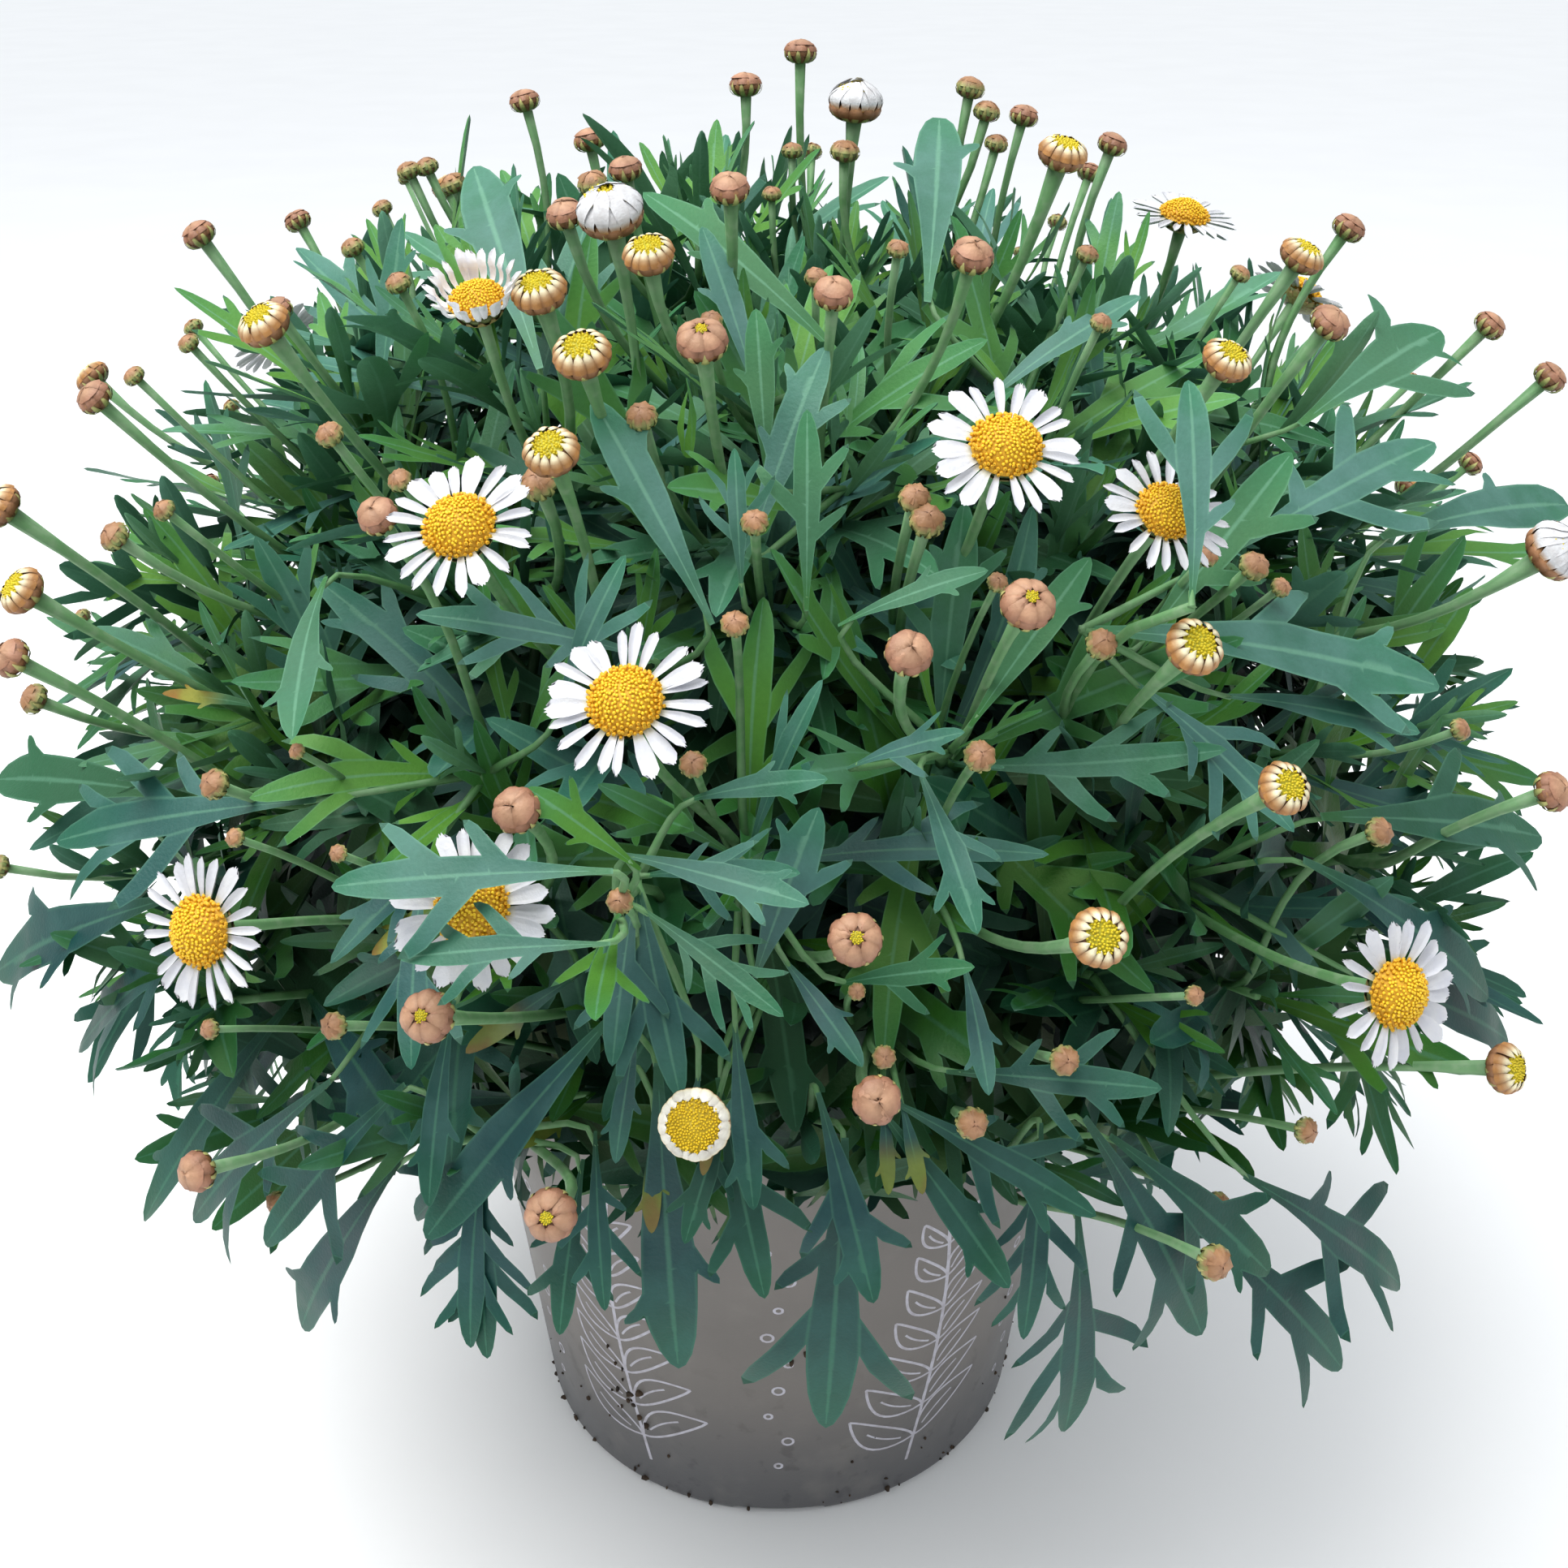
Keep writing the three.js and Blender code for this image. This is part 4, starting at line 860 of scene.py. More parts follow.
BRACT_PAINT = layered(0.5, (0, GREEN), (0.55, BRACT), (0.8, PALE_TIP), (1, PALE_TIP))
BUD_PAINTS = [
    layered(0.6, (0, BROWN), (0.45, TAN), (0.75, ROSE), (0.93, blend(ROSE, PEACH, 0.4)), (1, PALE_TIP)),
    layered(0.7, (0, blend(BROWN, ROSE, 0.5)), (0.35, ROSE), (0.8, blend(ROSE, PEACH, 0.9)), (1, ROSE)),
    layered(0.5, (0, ROSE), (0.4, PEACH), (0.8, blend(ROSE, PEACH, 0.7)), (1, blend(BROWN, ROSE, 0.6))),
]
YOUNG_PAINTS = [
    layered(0.5, (0, GREEN), (0.5, BRACT), (1, TAN)),
    layered(0.5, (0, BRACT), (0.4, blend(TAN, PEACH, 0.3)), (1, blend(ROSE, PEACH, 0.3))),
    layered(0.4, (0, TAN), (0.4, blend(TAN, PEACH, 0.5)), (1, blend(ROSE, PEACH, 0.3))),
]
RING_PAINTS = [
    layered(0.7, (0, BROWN), (0.5, blend(TAN, ROSE, 0.4)), (1, blend(TAN, ORANGE, 0.15))),
    layered(0.6, (0, blend(TAN, ORANGE, 0.2)), (0.45, blend(TAN, ORANGE, 0.2)), (0.66, CREAM), (1, CREAM)),
]
CROWN_PAINTS = [
    layered(0.6, (0, BROWN), (0.5, TAN), (1, ROSE)),
    layered(0.25, (0, TAN), (0.2, CREAM), (0.4, blend(CREAM, WHITE, 0.6)), (1, blend(CREAM, WHITE, 0.7))),
]


def add_florets(skin, place, axis, radius, rise, count, rng, ripe=0.0, tint=None):
    """A dome packed with florets along its golden spiral; the ripe ones, outside, stand open."""
    levels = ((0, 0.8), (0.62, 1.0), (1.0, 0.72)) if ripe else ((0, 1.0), (0.8, 0.72))
    sides = 5
    ring = circle(1, turns(sides), 0)
    size = radius / math.sqrt(count)
    columns = 24
    rows = 6
    share = np.linspace(1, 0, rows)[:, None]
    dome = circle(radius * share, turns(columns), rise * (1 - share ** 2.2))
    # Painted shade: the dome under the florets, seen between them, darker than the florets
    base = FLORET_GAP_SHADE if tint is None else tint * 0.7
    set_on(skin, place, axis, dome, grid_faces(rows, columns), base)
    high = len(levels)
    faces = closed_faces(high, sides)
    points = []
    colours = []
    joined = []
    for k in range(count):
        share = min(1, math.sqrt((k + 0.5) / count) * rng.uniform(0.97, 1.03))
        angle = k * GOLDEN_ANGLE + rng.uniform(-0.7, 0.7) / math.sqrt(k + 1)
        outer = share > 1 - ripe
        tall = size * (2.1 if outer else 0.8 + 0.7 * share) * rng.uniform(0.8, 1.2)
        wide = size * (1.0 if outer else 0.78 + 0.12 * share) * rng.uniform(0.85, 1.15)
        foot = circle(radius * share, angle, rise * (1 - share ** 2.2))
        lean = unit(circle(2.2 * rise / radius * share ** 1.2, angle, 1.0))
        a, b = sides_of(lean)
        across = ring[:, :1] * a + ring[:, 1:2] * b
        for height, width in levels:
            points.append(foot + lean * tall * height + across * wide * width)
        points.append((foot + lean * tall * (0.72 if outer else 1.12))[None])
        body = blend(YELLOW, ORANGE, 0.25 + 0.4 * share if outer else 0.3 * share * rng.random())
        body = body if tint is None else blend(body, tint, 0.75)
        tip = blend(body, FLORET_TIP, 0.35 if tint is None else 0.1)
        # Painted shade: the florets of a ripe disc darker at their foot, and the open ones darker inside
        # their mouth
        stages = [body * 0.75, body, tip][-high:]
        colours.append(np.concatenate([np.repeat(stages, sides, axis=0), [body * 0.7 if outer else tip]]))
        joined.append(faces + k * (high * sides + 1))
    set_on(skin, place, axis, *(np.concatenate(parts) for parts in (points, joined, colours)))


def strap_points(long, wide, rise, notch, fold, rows=9, columns=7, bowl=0.0):
    """One ray along +X: a strap that widens, with a rounded and toothed end."""
    s = np.linspace(0, 1, rows)[:, None]
    c = np.linspace(-1, 1, columns)[None, :]
    body = 0.5 + 0.5 * smooth_step(0.0, 0.6, s)
    end = np.sqrt(np.clip(1 - np.clip((s - 0.84) / 0.175, 0, 1) ** 2, 0, 1))
    half = wide / 2 * body * blend(end, 1, 0.12)
    tooth = 1 - notch * (0.5 - 0.5 * np.cos(3 * math.pi * (c + 1))) * smooth_step(0.6, 1.0, s)
    x = long * s * tooth * (1 - 0.06 * c * c * s)
    ridge = 0.05 * wide * np.cos(2.2 * math.pi * c) * np.sin(math.pi * np.clip(s * 1.1, 0, 1))
    z = rise * np.sin(0.5 * math.pi * s) * long + ridge + fold * half * c * c
    lean = bowl * np.clip(1.6 * s, 0, 1)
    level = x * np.cos(lean) - z * np.sin(lean)
    return np.stack([level, half * c, z * np.cos(lean) + x * np.sin(lean)], axis=-1)


def add_ray(skin, place, axis, points, thickness, angle, colour):
    """Both faces of a ray, closed at its sides and end, and turned round the head's axis."""
    rows, columns = points.shape[:2]
    upper = points.reshape(-1, 3)
    inside = np.ones((rows, columns), bool)
    inside[-1, :] = inside[:, 0] = inside[:, -1] = False
    lower = upper - np.array(thickness) * inside.reshape(-1, 1)
    faces = grid_faces(rows, columns, closed=False)
    both = np.concatenate([faces, faces[:, ::-1] + len(upper)])
    points = np.concatenate([upper, lower]) @ spinner(angle)
    set_on(skin, place, axis, points, both, np.concatenate([colour, colour]))


def ray_colour(points, base, low, high):
    """White that turns to a base colour at the foot of a ray."""
    rows, columns = points.shape[:2]
    s = np.repeat(np.linspace(0, 1, rows), columns)[:, None]
    return blend(base, WHITE, smooth_step(low, high, s))


def add_rays(skin, flower, rng):
    radius = flower["radius"]
    root = FLOWER["root"] * radius
    seat = flower["head"] + flower["axis"] * (FLOWER["cup"] + GAP)
    count = FLOWER["rays"] + rng.choice((-1, 0, 1))
    # Painted light: the rays of a flower that rises as a bowl are painted lighter, so they read as lit
    # where they face away from the sky
    bowl_painted_light = 1 + 0.5 * flower["bowl"]
    for k in range(count):
        angle = FULL_TURN * (k + rng.uniform(-0.22, 0.22)) / count
        long = (radius - root) * rng.uniform(0.9, 1.06)
        broad = rng.random() < flower["broad"]
        wide = radius * (rng.uniform(0.19, 0.26) if broad else rng.uniform(0.11, 0.155))
        fold = rng.uniform(-0.1, 0.35) if broad else rng.uniform(0.3, 0.8)
        rise = rng.gauss(0.02, 0.07)
        points = strap_points(long, wide, rise, rng.uniform(0.02, 0.07), fold, bowl=flower["bowl"])
        points += (root, 0, 0.35 * (k % 2) + 0.4)
        colour = ray_colour(points, RAY_FOOT, 0.0, 0.22) * rng.uniform(0.9, 1.04) * bowl_painted_light
        add_ray(skin, seat, flower["axis"], points, (0, 0, FLOWER["thickness"]), angle, colour)


def add_bud(skin, place, axis, half, rng, spot=False):
    """A closed head, or with a spot one that shows the first of its middle."""
    fine = half > FINE_HALF
    add_core(skin, place, axis, half, 0.95, ROSE * 0.8, columns=10)
    rows = list(zip(SPOT_SCALES if spot else BUD_SCALES, BUD_PAINTS if fine else YOUNG_PAINTS))
    for row, paint in rows + [(BRACTS, BRACT_PAINT)]:
        add_scales(skin, place, axis, half, row, paint, rng, fine=fine)
    if spot:
        add_florets(skin, place + axis * 1.38 * half, axis, 0.27 * half, 0.06 * half, 30, rng, tint=LIME)


def add_opening(skin, place, axis, half, rng, crown=False):
    """A head whose rays still fold in over a yellow middle; in a crown they have half unfolded."""
    tall, top = (1.15, 0.65) if crown else (1.3, 0.7)
    rows = list(zip(CROWN_SCALES, CROWN_PAINTS) if crown else zip(RING_SCALES, RING_PAINTS))
    add_core(skin, place, axis, half, top, CREAM if crown else BROWN, tall, 24)
    for row, paint in rows + [(OPEN_BRACTS, BRACT_PAINT)]:
        add_scales(skin, place, axis, half, row, paint, rng, tall)
    width, height = globe(half, top, tall)
    inner = width * (0.98 if crown else 0.88)
    tint = blend(YELLOW, LIME, 0.4) * 0.85 if crown else LIME
    florets = 260 if crown else 80
    add_florets(skin, place + axis * height * 0.97, axis, inner, 0.12 * inner, florets, rng, tint=tint)


def add_cup(skin, place, axis, half, rng):
    """A half-open head: upright white rays round a yellow disc, brown at their foot."""
    tall = 1.1
    add_core(skin, place, axis, half, 0.5, BROWN, tall, 24)
    add_scales(skin, place, axis, half, RING_SCALES[0], RING_PAINTS[0], rng, tall)
    add_scales(skin, place, axis, half, OPEN_BRACTS, BRACT_PAINT, rng, tall)
    for k in range(CUP_RAYS):
        angle = FULL_TURN * (k + rng.uniform(-0.15, 0.15)) / CUP_RAYS
        long = half * rng.uniform(1.0, 1.2)
        flat = strap_points(long, half * 0.52, 0, 0.05, 0.3, 8, 5)
        s = flat[..., 0] / long
        spread = flat[..., 1]
        bow = half * (0.98 + 0.16 * np.sin(math.pi * s) - 0.8 * s ** 2.6) + 0.12 * (k % 2)
        depth = np.sqrt(np.clip(bow ** 2 - spread ** 2, 0, None)) + flat[..., 2] * 0.3
        points = np.stack([depth, spread, 0.5 * half + long * s], axis=-1)
        colour = ray_colour(points, CUP_RAY_FOOT, 0.02, 0.28)
        add_ray(skin, place, axis, points, (FLOWER["thickness"], 0, 0), angle, colour)
    add_florets(skin, place + axis * 1.15 * half, axis, 0.74 * half, 0.25 * half, 80, rng, tint=LIME)


def add_green_cup(skin, flower, rng):
    """The green cup of scales that holds an open flower."""
    place, axis = flower["head"], flower["axis"]
    half = 0.4 * flower["radius"]
    columns = 36
    # One draw goes unused, which keeps all the later ones as they are
    rng.random()
    rings = [circle(half * width, turns(columns), share * FLOWER["cup"])
             for share, width in ((0, 0.28), (0.25, 0.62), (0.6, 0.9), (1, 1.0))]
    points = np.concatenate(rings + [[[0, 0, FLOWER["cup"]]]])
    faces = closed_faces(len(rings), columns)
    set_on(skin, place, axis, points, faces, blend(GREEN, BROWN, 0.25))
    t = np.linspace(0, 1, 4)[:, None]
    u = np.linspace(-1, 1, 4)[None]
    edge = np.clip(np.abs(u) ** 3 + t ** 3, 0, 1).reshape(-1, 1)
    colour = blend(BRACT, blend(TAN, BROWN, 0.5), edge * 0.8)
    for row in range(2):
        for k in range(13):
            share = t * (0.72 + 0.28 * row)
            radius = half * (0.3 + 0.78 * np.sin(share * math.pi / 2)) + 0.25
            turn = FULL_TURN * (k + 0.5 * row) / 13 + 0.3 * (1 - t ** 2.2) * u
            grid = circle(radius, turn, (FLOWER["cup"] + 0.4) * share ** 1.4)
            set_on(skin, place, axis, grid, grid_faces(4, 4, closed=False), colour)


def add_head(skin, item, rng):
    """The part of a head that belongs to its branch."""
    kind = item["kind"]
    if kind == "flower":
        add_green_cup(skin, item, rng)
        return
    where = (skin, item["head"], item["axis"], BODY_SHARE[kind] * item["half"], rng)
    if kind == "cup":
        add_cup(*where)
    elif kind in ("bud", "spot"):
        add_bud(*where, spot=kind == "spot")
    else:
        add_opening(*where, crown=kind == "crown")


def add_stalk(shoot, item, rng):
    """A stalk that leaves its shoot, bows up and widens under the head."""
    head, axis = item["head"], item["axis"]
    start = shoot["tip"] - shoot["axis"] * STALK["start"]
    leave = unit(0.5 * shoot["axis"] + unit(head - start))
    span = np.linalg.norm(head - start)
    bow = np.array([rng.gauss(0, 1) for _ in range(3)]) * 0.05 * span
    path = bezier(start, start + leave * 0.25 * span + bow, head - axis * 0.6 * span, head, STALK["steps"])
    flare = np.linspace(0, 1, STALK["steps"])
    radius = STALK["radius"] * item["slim"]
    neck = max(item["neck"], radius)
    radii = radius * (1.12 - 0.2 * flare) + (neck - 0.92 * radius) * flare ** 14
    add_rod(shoot["branch"]["plant"], path, radii, STALK["sides"], (0, 1), (rng.random(), 0.5, 0.0),
            STALK["rib"])


def nearest_shoot(shoots, head, axis):
    under = head - axis * STALK["under"]
    outer = [shoot for shoot in shoots if not shoot["inner"]]
    return min(outer, key=lambda shoot: np.linalg.norm(under - shoot["tip"]) + 10 * shoot["load"])


# Materials
def set_ramp(ramp, stops):
    """Gives a colour ramp its stops of place and colour."""
    while len(ramp.elements) < len(stops):
        ramp.elements.new(0.5)
    for element, (at, colour) in zip(ramp.elements, stops):
        element.position = at
        element.color = (*colour, 1)


class Shader:
    """A node tree with one surface shader, wired by short calls."""

    def __init__(self, name):
        self.material = bpy.data.materials.new(name)
        self.material.use_nodes = True
        self.tree = self.material.node_tree
        self.surface = self.tree.nodes["Principled BSDF"]

    def node(self, kind, inputs=(), **settings):
        made = self.tree.nodes.new("ShaderNode" + kind)
        for key, value in settings.items():
            setattr(made, key, value)
        for key, value in dict(inputs).items():
            self.plug(made.inputs[key], value)
        return made

    def plug(self, socket, value):
        if isinstance(value, bpy.types.NodeSocket):
            self.tree.links.new(value, socket)
        elif isinstance(value, (tuple, list, np.ndarray)) and socket.type == "RGBA":
            socket.default_value = (*value, 1)[:4]
        else:
            socket.default_value = value

    def layer(self, name):
        """The colour that is kept in a layer of the mesh."""
        return self.node("Attribute", attribute_name=name).outputs["Color"]

    def channels(self, name):
        """The three values that are kept in a layer of the mesh."""
        return self.node("SeparateColor", {"Color": self.layer(name)}).outputs[:3]

    def place(self):
        return self.node("TexCoord").outputs["Object"]

    def height(self):
        return self.node("SeparateXYZ", {"Vector": self.place()}).outputs["Z"]

    def noise(self, scale, detail=2.0):
        made = self.node("TexNoise", {"Vector": self.place(), "Scale": scale, "Detail": detail})
        return made.outputs["Fac"]

    def vector(self, operation, *values, output="Vector"):
        return self.node("VectorMath", dict(enumerate(values)), operation=operation).outputs[output]

    def maths(self, operation, a, b=0.0):
        return self.node("Math", {0: a, 1: b}, operation=operation).outputs[0]

    def times(self, a, b):
        return self.maths("MULTIPLY", a, b)

    def depth_shade(self):
        """White at the dome's outside, darker towards the heart of the bush."""
        offset = self.vector("SUBTRACT", self.place(), (0, 0, DOME["middle"] * MM))
        spread = [1 / (DOME[key] * MM) for key in ("reach", "reach", "drop")]
        scaled = self.vector("MULTIPLY", offset, spread)
        share = self.vector("LENGTH", scaled, output="Value")
        return self.ramp(self.step(share, 0.54, 1.05), INNER_SHADE)

    def step(self, value, low, high, to_low=0.0, to_high=1.0):
        """A smooth step from one value to another while the input goes from low to high."""
        spans = {"Value": value, "From Min": low, "From Max": high, "To Min": to_low, "To Max": to_high}
        return self.node("MapRange", spans, interpolation_type="SMOOTHSTEP").outputs["Result"]

    def mix(self, share, a, b, blend_type="MIX"):
        made = self.node("Mix", data_type="RGBA", blend_type=blend_type)
        for socket, value in ((0, share), (6, a), (7, b)):
            self.plug(made.inputs[socket], value)
        return made.outputs[2]

    def multiply(self, share, a, b):
        return self.mix(share, a, b, "MULTIPLY")

    def ramp(self, value, stops):
        made = self.node("ValToRGB", {"Fac": value})
        set_ramp(made.color_ramp, stops)
        return made.outputs["Color"]

    def bump(self, height, strength, distance):
        made = self.node("Bump", {"Height": height, "Strength": strength, "Distance": distance})
        self.plug(self.surface.inputs["Normal"], made.outputs["Normal"])

    def finish(self, colour, roughness, shine=0.5):
        self.plug(self.surface.inputs["Base Color"], colour)
        self.plug(self.surface.inputs["Roughness"], roughness)
        self.surface.inputs["Specular IOR Level"].default_value = shine
        return self.material


# Stops of place and colour: the shade towards the heart of the bush, the shade by height, the
# leaves from blue to green, the fine grain of leaves, and the tone of the pot, its print, the soil,
# the floor and the sky
INNER_SHADE = [(0.0, (0.006, 0.03, 0.008)), (0.5, (0.14, 0.29, 0.14)), (1.0, (0.86, 0.85, 0.88))]
HEIGHT_SHADE = [(0.0, (0.3, 0.55, 0.48)), (0.5, (0.33, 0.48, 0.44)), (1.0, (1, 1, 1))]
BLUE_TEAL = (0.016, 0.105, 0.16)
TEAL = (0.008, 0.115, 0.1)
DARK_TEAL = (0.005, 0.075, 0.078)
MID_GREEN = (0.016, 0.15, 0.022)
LEAF_GREEN = (0.045, 0.21, 0.01)
BRIGHT_GREEN = (0.12, 0.33, 0.018)
LEAF_HUES = [(0.0, BLUE_TEAL), (0.26, BLUE_TEAL), (0.42, TEAL), (0.54, TEAL), (0.66, MID_GREEN),
             (0.76, MID_GREEN), (0.88, LEAF_GREEN)]
LEAF_GRAIN = [(0.3, (0.8, 0.82, 0.8)), (0.7, (1, 1, 1))]
POT_TONES = [(0.3, (0.15, 0.136, 0.124)), (0.7, (0.178, 0.16, 0.146))]
PRINT_TONES = [(0.35, (0.4, 0.38, 0.42)), (0.6, (0.5, 0.49, 0.55))]
SOIL_TONES = [(0.3, (0.012, 0.008, 0.005)), (0.5, (0.035, 0.022, 0.013)), (0.72, (0.09, 0.055, 0.03))]
FLOOR_TONES = [(0.3, (0.9, 0.9, 0.9)), (0.7, (0.92, 0.92, 0.92))]
SKY_TONES = [(0.0, (0.36, 0.37, 0.39)), (0.25, (0.3, 0.32, 0.34)), (1.0, (1.5, 1.55, 1.6))]

GLAUCOUS_SHEEN = (0.15, 0.3, 0.28)
UNDERSIDE = (0.12, 0.3, 0.21)
# Pale midrib colour; along the rim it also serves as a painted highlight
RIB_AND_RIM_HIGHLIGHT = (0.17, 0.4, 0.26)
TOP_BACKLIT_GREEN = (0.2, 0.44, 0.18)
TIP_GREEN = (0.03, 0.22, 0.09)
OLD_YELLOW = (0.42, 0.38, 0.06)
OLD_ORANGE = (0.48, 0.22, 0.06)
TOP_SHADE = (0.93, 0.88, 0.9)
BLUE_SHINE = (0.85, 1, 0.98)
GREEN_SHINE = (0.8, 1, 0.5)
STALK_DARK = (0.13, 0.31, 0.11)
STALK_PALE = (0.19, 0.38, 0.17)
STALK_FOOT = (0.05, 0.16, 0.05)
STALK_GROOVE_SHADE = (0.06, 0.16, 0.06)
STALK_FLECK = (0.28, 0.4, 0.24)
POT_SOILED = (0.05, 0.034, 0.024)
POT_FOOT_SHADE = (0.065, 0.07, 0.08)
POT_DUST = (0.24, 0.225, 0.2)

# Finishes of heads, rays and discs: scale and detail of the grain, its darkest tint, where it
# turns white, its share, scale, detail, strength and depth of the bumps, roughness, shine
GRAINED = {
    "marguerite_head": (700, 3, (0.72, 0.68, 0.66), 0.62, 0.6, 1800, 3, 0.35, 0.0004, 0.5, 0.35),
    "marguerite_rays": (300, 2, (0.84, 0.85, 0.93), 0.65, 0.7, 1600, 3, 0.3, 0.0004, 0.5, 0.3),
    "marguerite_disc": (1500, 2, (0.75, 0.66, 0.6), 0.6, 0.55, 3500, 2, 0.3, 0.0003, 0.6, 0.5),
}


def grained_material(name):
    scale, detail, dark, white_at, share, fine, fine_detail, strength, depth, rough, shine = GRAINED[name]
    s = Shader(name)
    colour = s.layer("colour")
    shade = s.ramp(s.noise(scale, detail), [(0.3, dark), (white_at, (1, 1, 1))])
    s.bump(s.noise(fine, fine_detail), strength, depth)
    return s.finish(s.multiply(share, colour, shade), rough, shine)


def leaf_material():
    s = Shader("marguerite_leaf")
    rim, along, under = s.channels("form")
    hue, light, age = s.channels("tone")
    high = s.step(s.height(), 0.2, 0.36)
    # Painted light: higher leaves are turned greener, as if lit through from behind
    hue = s.maths("ADD", hue, s.times(high, 0.13))
    colour = s.ramp(hue, LEAF_HUES)
    lit_fresh_green = s.mix(s.step(hue, 0.3, 0.9), LEAF_GREEN, BRIGHT_GREEN)
    # Painted light and shade by the tone's light value, partly the real freshness of young leaves: low
    # values darker teal, high values brighter fresh green
    colour = s.mix(s.step(light, 0.35, 0.0, 0.0, 0.7), colour, DARK_TEAL)
    colour = s.mix(s.step(light, 0.3, 1.0), colour, lit_fresh_green)
    # Painted light: leaves high in the bush lighter and yellower green, as if lit through from behind
    colour = s.mix(s.times(high, 0.21), colour, TOP_BACKLIT_GREEN)
    colour = s.mix(s.step(along, 0.0, 0.3, 0.45, 0.0), colour, LEAF_GREEN)
    colour = s.mix(s.step(along, 0.55, 1.0, 0.0, 0.5), colour, TIP_GREEN)
    colour = s.mix(s.times(under, 0.62), colour, UNDERSIDE)
    patches = s.noise(90, 3)
    # Random paler grey-blue patches, most on the bluer leaves: partly the leaves' real waxy bloom, partly a
    # painted sheen of the sky on them
    bloom_and_sheen = s.times(s.step(patches, 0.35, 0.7), s.step(hue, 0.8, 0.5, 0.04, 0.3))
    colour = s.mix(bloom_and_sheen, colour, GLAUCOUS_SHEEN)
    # The pale midrib is the leaf's own colour; the pale line along the rim is partly its real paler margin
    # and partly a painted highlight of the edge catching light
    colour = s.mix(s.step(rim, 0.16, 0.03, 0.0, 0.5), colour, RIB_AND_RIM_HIGHLIGHT)
    colour = s.mix(s.step(rim, 0.86, 1.0, 0.0, 0.35), colour, RIB_AND_RIM_HIGHLIGHT)
    old = s.mix(s.step(patches, 0.4, 0.62), OLD_YELLOW, OLD_ORANGE)
    colour = s.mix(s.times(age, s.step(along, 0.4, 0.75)), colour, old)
    colour = s.multiply(0.5, colour, s.ramp(s.noise(900, 2), LEAF_GRAIN))
    shade = s.mix(s.times(high, 0.7), s.depth_shade(), TOP_SHADE)
    colour = s.multiply(1.0, colour, shade)
    by_height = s.ramp(s.step(s.height(), 0.1, 0.36), HEIGHT_SHADE)
    colour = s.multiply(1.0, colour, by_height)
    s.bump(s.noise(1500, 3), 0.25, 0.0004)
    tint = s.mix(s.step(hue, 0.5, 0.85), BLUE_SHINE, GREEN_SHINE)
    s.plug(s.surface.inputs["Specular Tint"], tint)
    return s.finish(colour, s.step(patches, 0.3, 0.7, 0.45, 0.6), 0.36)


def stalk_material():
    s = Shader("marguerite_stalk")
    rib, along, _ = s.channels("form")
    hue = s.channels("tone")[0]
    colour = s.mix(s.step(hue, 0, 1), STALK_DARK, STALK_PALE)
    colour = s.mix(s.step(along, 0.0, 0.6, 0.7, 0.0), colour, STALK_FOOT)
    # Painted shade: darker in the grooves between the stalk's ribs
    colour = s.mix(s.times(rib, 0.45), colour, STALK_GROOVE_SHADE)
    colour = s.mix(s.step(s.noise(300), 0.4, 0.7, 0.0, 0.4), colour, STALK_FLECK)
    colour = s.multiply(1.0, colour, s.depth_shade())
    s.bump(s.noise(2500, 2), 0.2, 0.0003)
    return s.finish(colour, 0.55, 0.3)


def pot_material():
    s = Shader("taupe_pot")
    cloudy = s.noise(28, 4)
    colour = s.ramp(cloudy, POT_TONES)
    grime = s.step(s.noise(150, 5), 0.58, 0.68)
    soiled = s.times(grime, s.step(s.height(), 0.075, 0.0, 0.05, 1.0))
    colour = s.mix(s.times(soiled, 0.7), colour, POT_SOILED)
    # Painted shade: darker and cooler towards the pot's foot
    colour = s.mix(s.step(s.height(), 0.07, 0.0, 0.0, 0.75), colour, POT_FOOT_SHADE)
    colour = s.mix(s.step(s.noise(70, 5), 0.5, 0.75, 0.0, 0.25), colour, POT_DUST)
    s.bump(s.noise(1400, 3), 0.12, 0.0003)
    return s.finish(colour, s.step(cloudy, 0.3, 0.7, 0.38, 0.5))


def print_material():
    s = Shader("pale_print")
    return s.finish(s.ramp(s.noise(400, 4), PRINT_TONES), 0.5)


def soil_material():
    s = Shader("potting_soil")
    colour = s.ramp(s.noise(260, 5), SOIL_TONES)
    s.bump(s.noise(800, 5), 0.8, 0.001)
    return s.finish(colour, 0.92)


def floor_material():
    s = Shader("pale_floor")
    return s.finish(s.ramp(s.noise(6, 2), FLOOR_TONES), 0.9, 0.0)


# Pot and soil
def pot_radius(z):
    return POT["base"] + (POT["rim"] - POT["band_step"] - POT["base"]) * z / POT["height"]


def rounded_corner(before, corner, after, size):
    """Points of a quarter bend that takes the place of a profile's sharp corner."""
    start = corner + unit(before - corner) * size
    end = corner + unit(after - corner) * size
    t = np.linspace(0, 1, 4)[:, None]
    return (1 - t) ** 2 * start + 2 * t * (1 - t) * corner + t * t * end


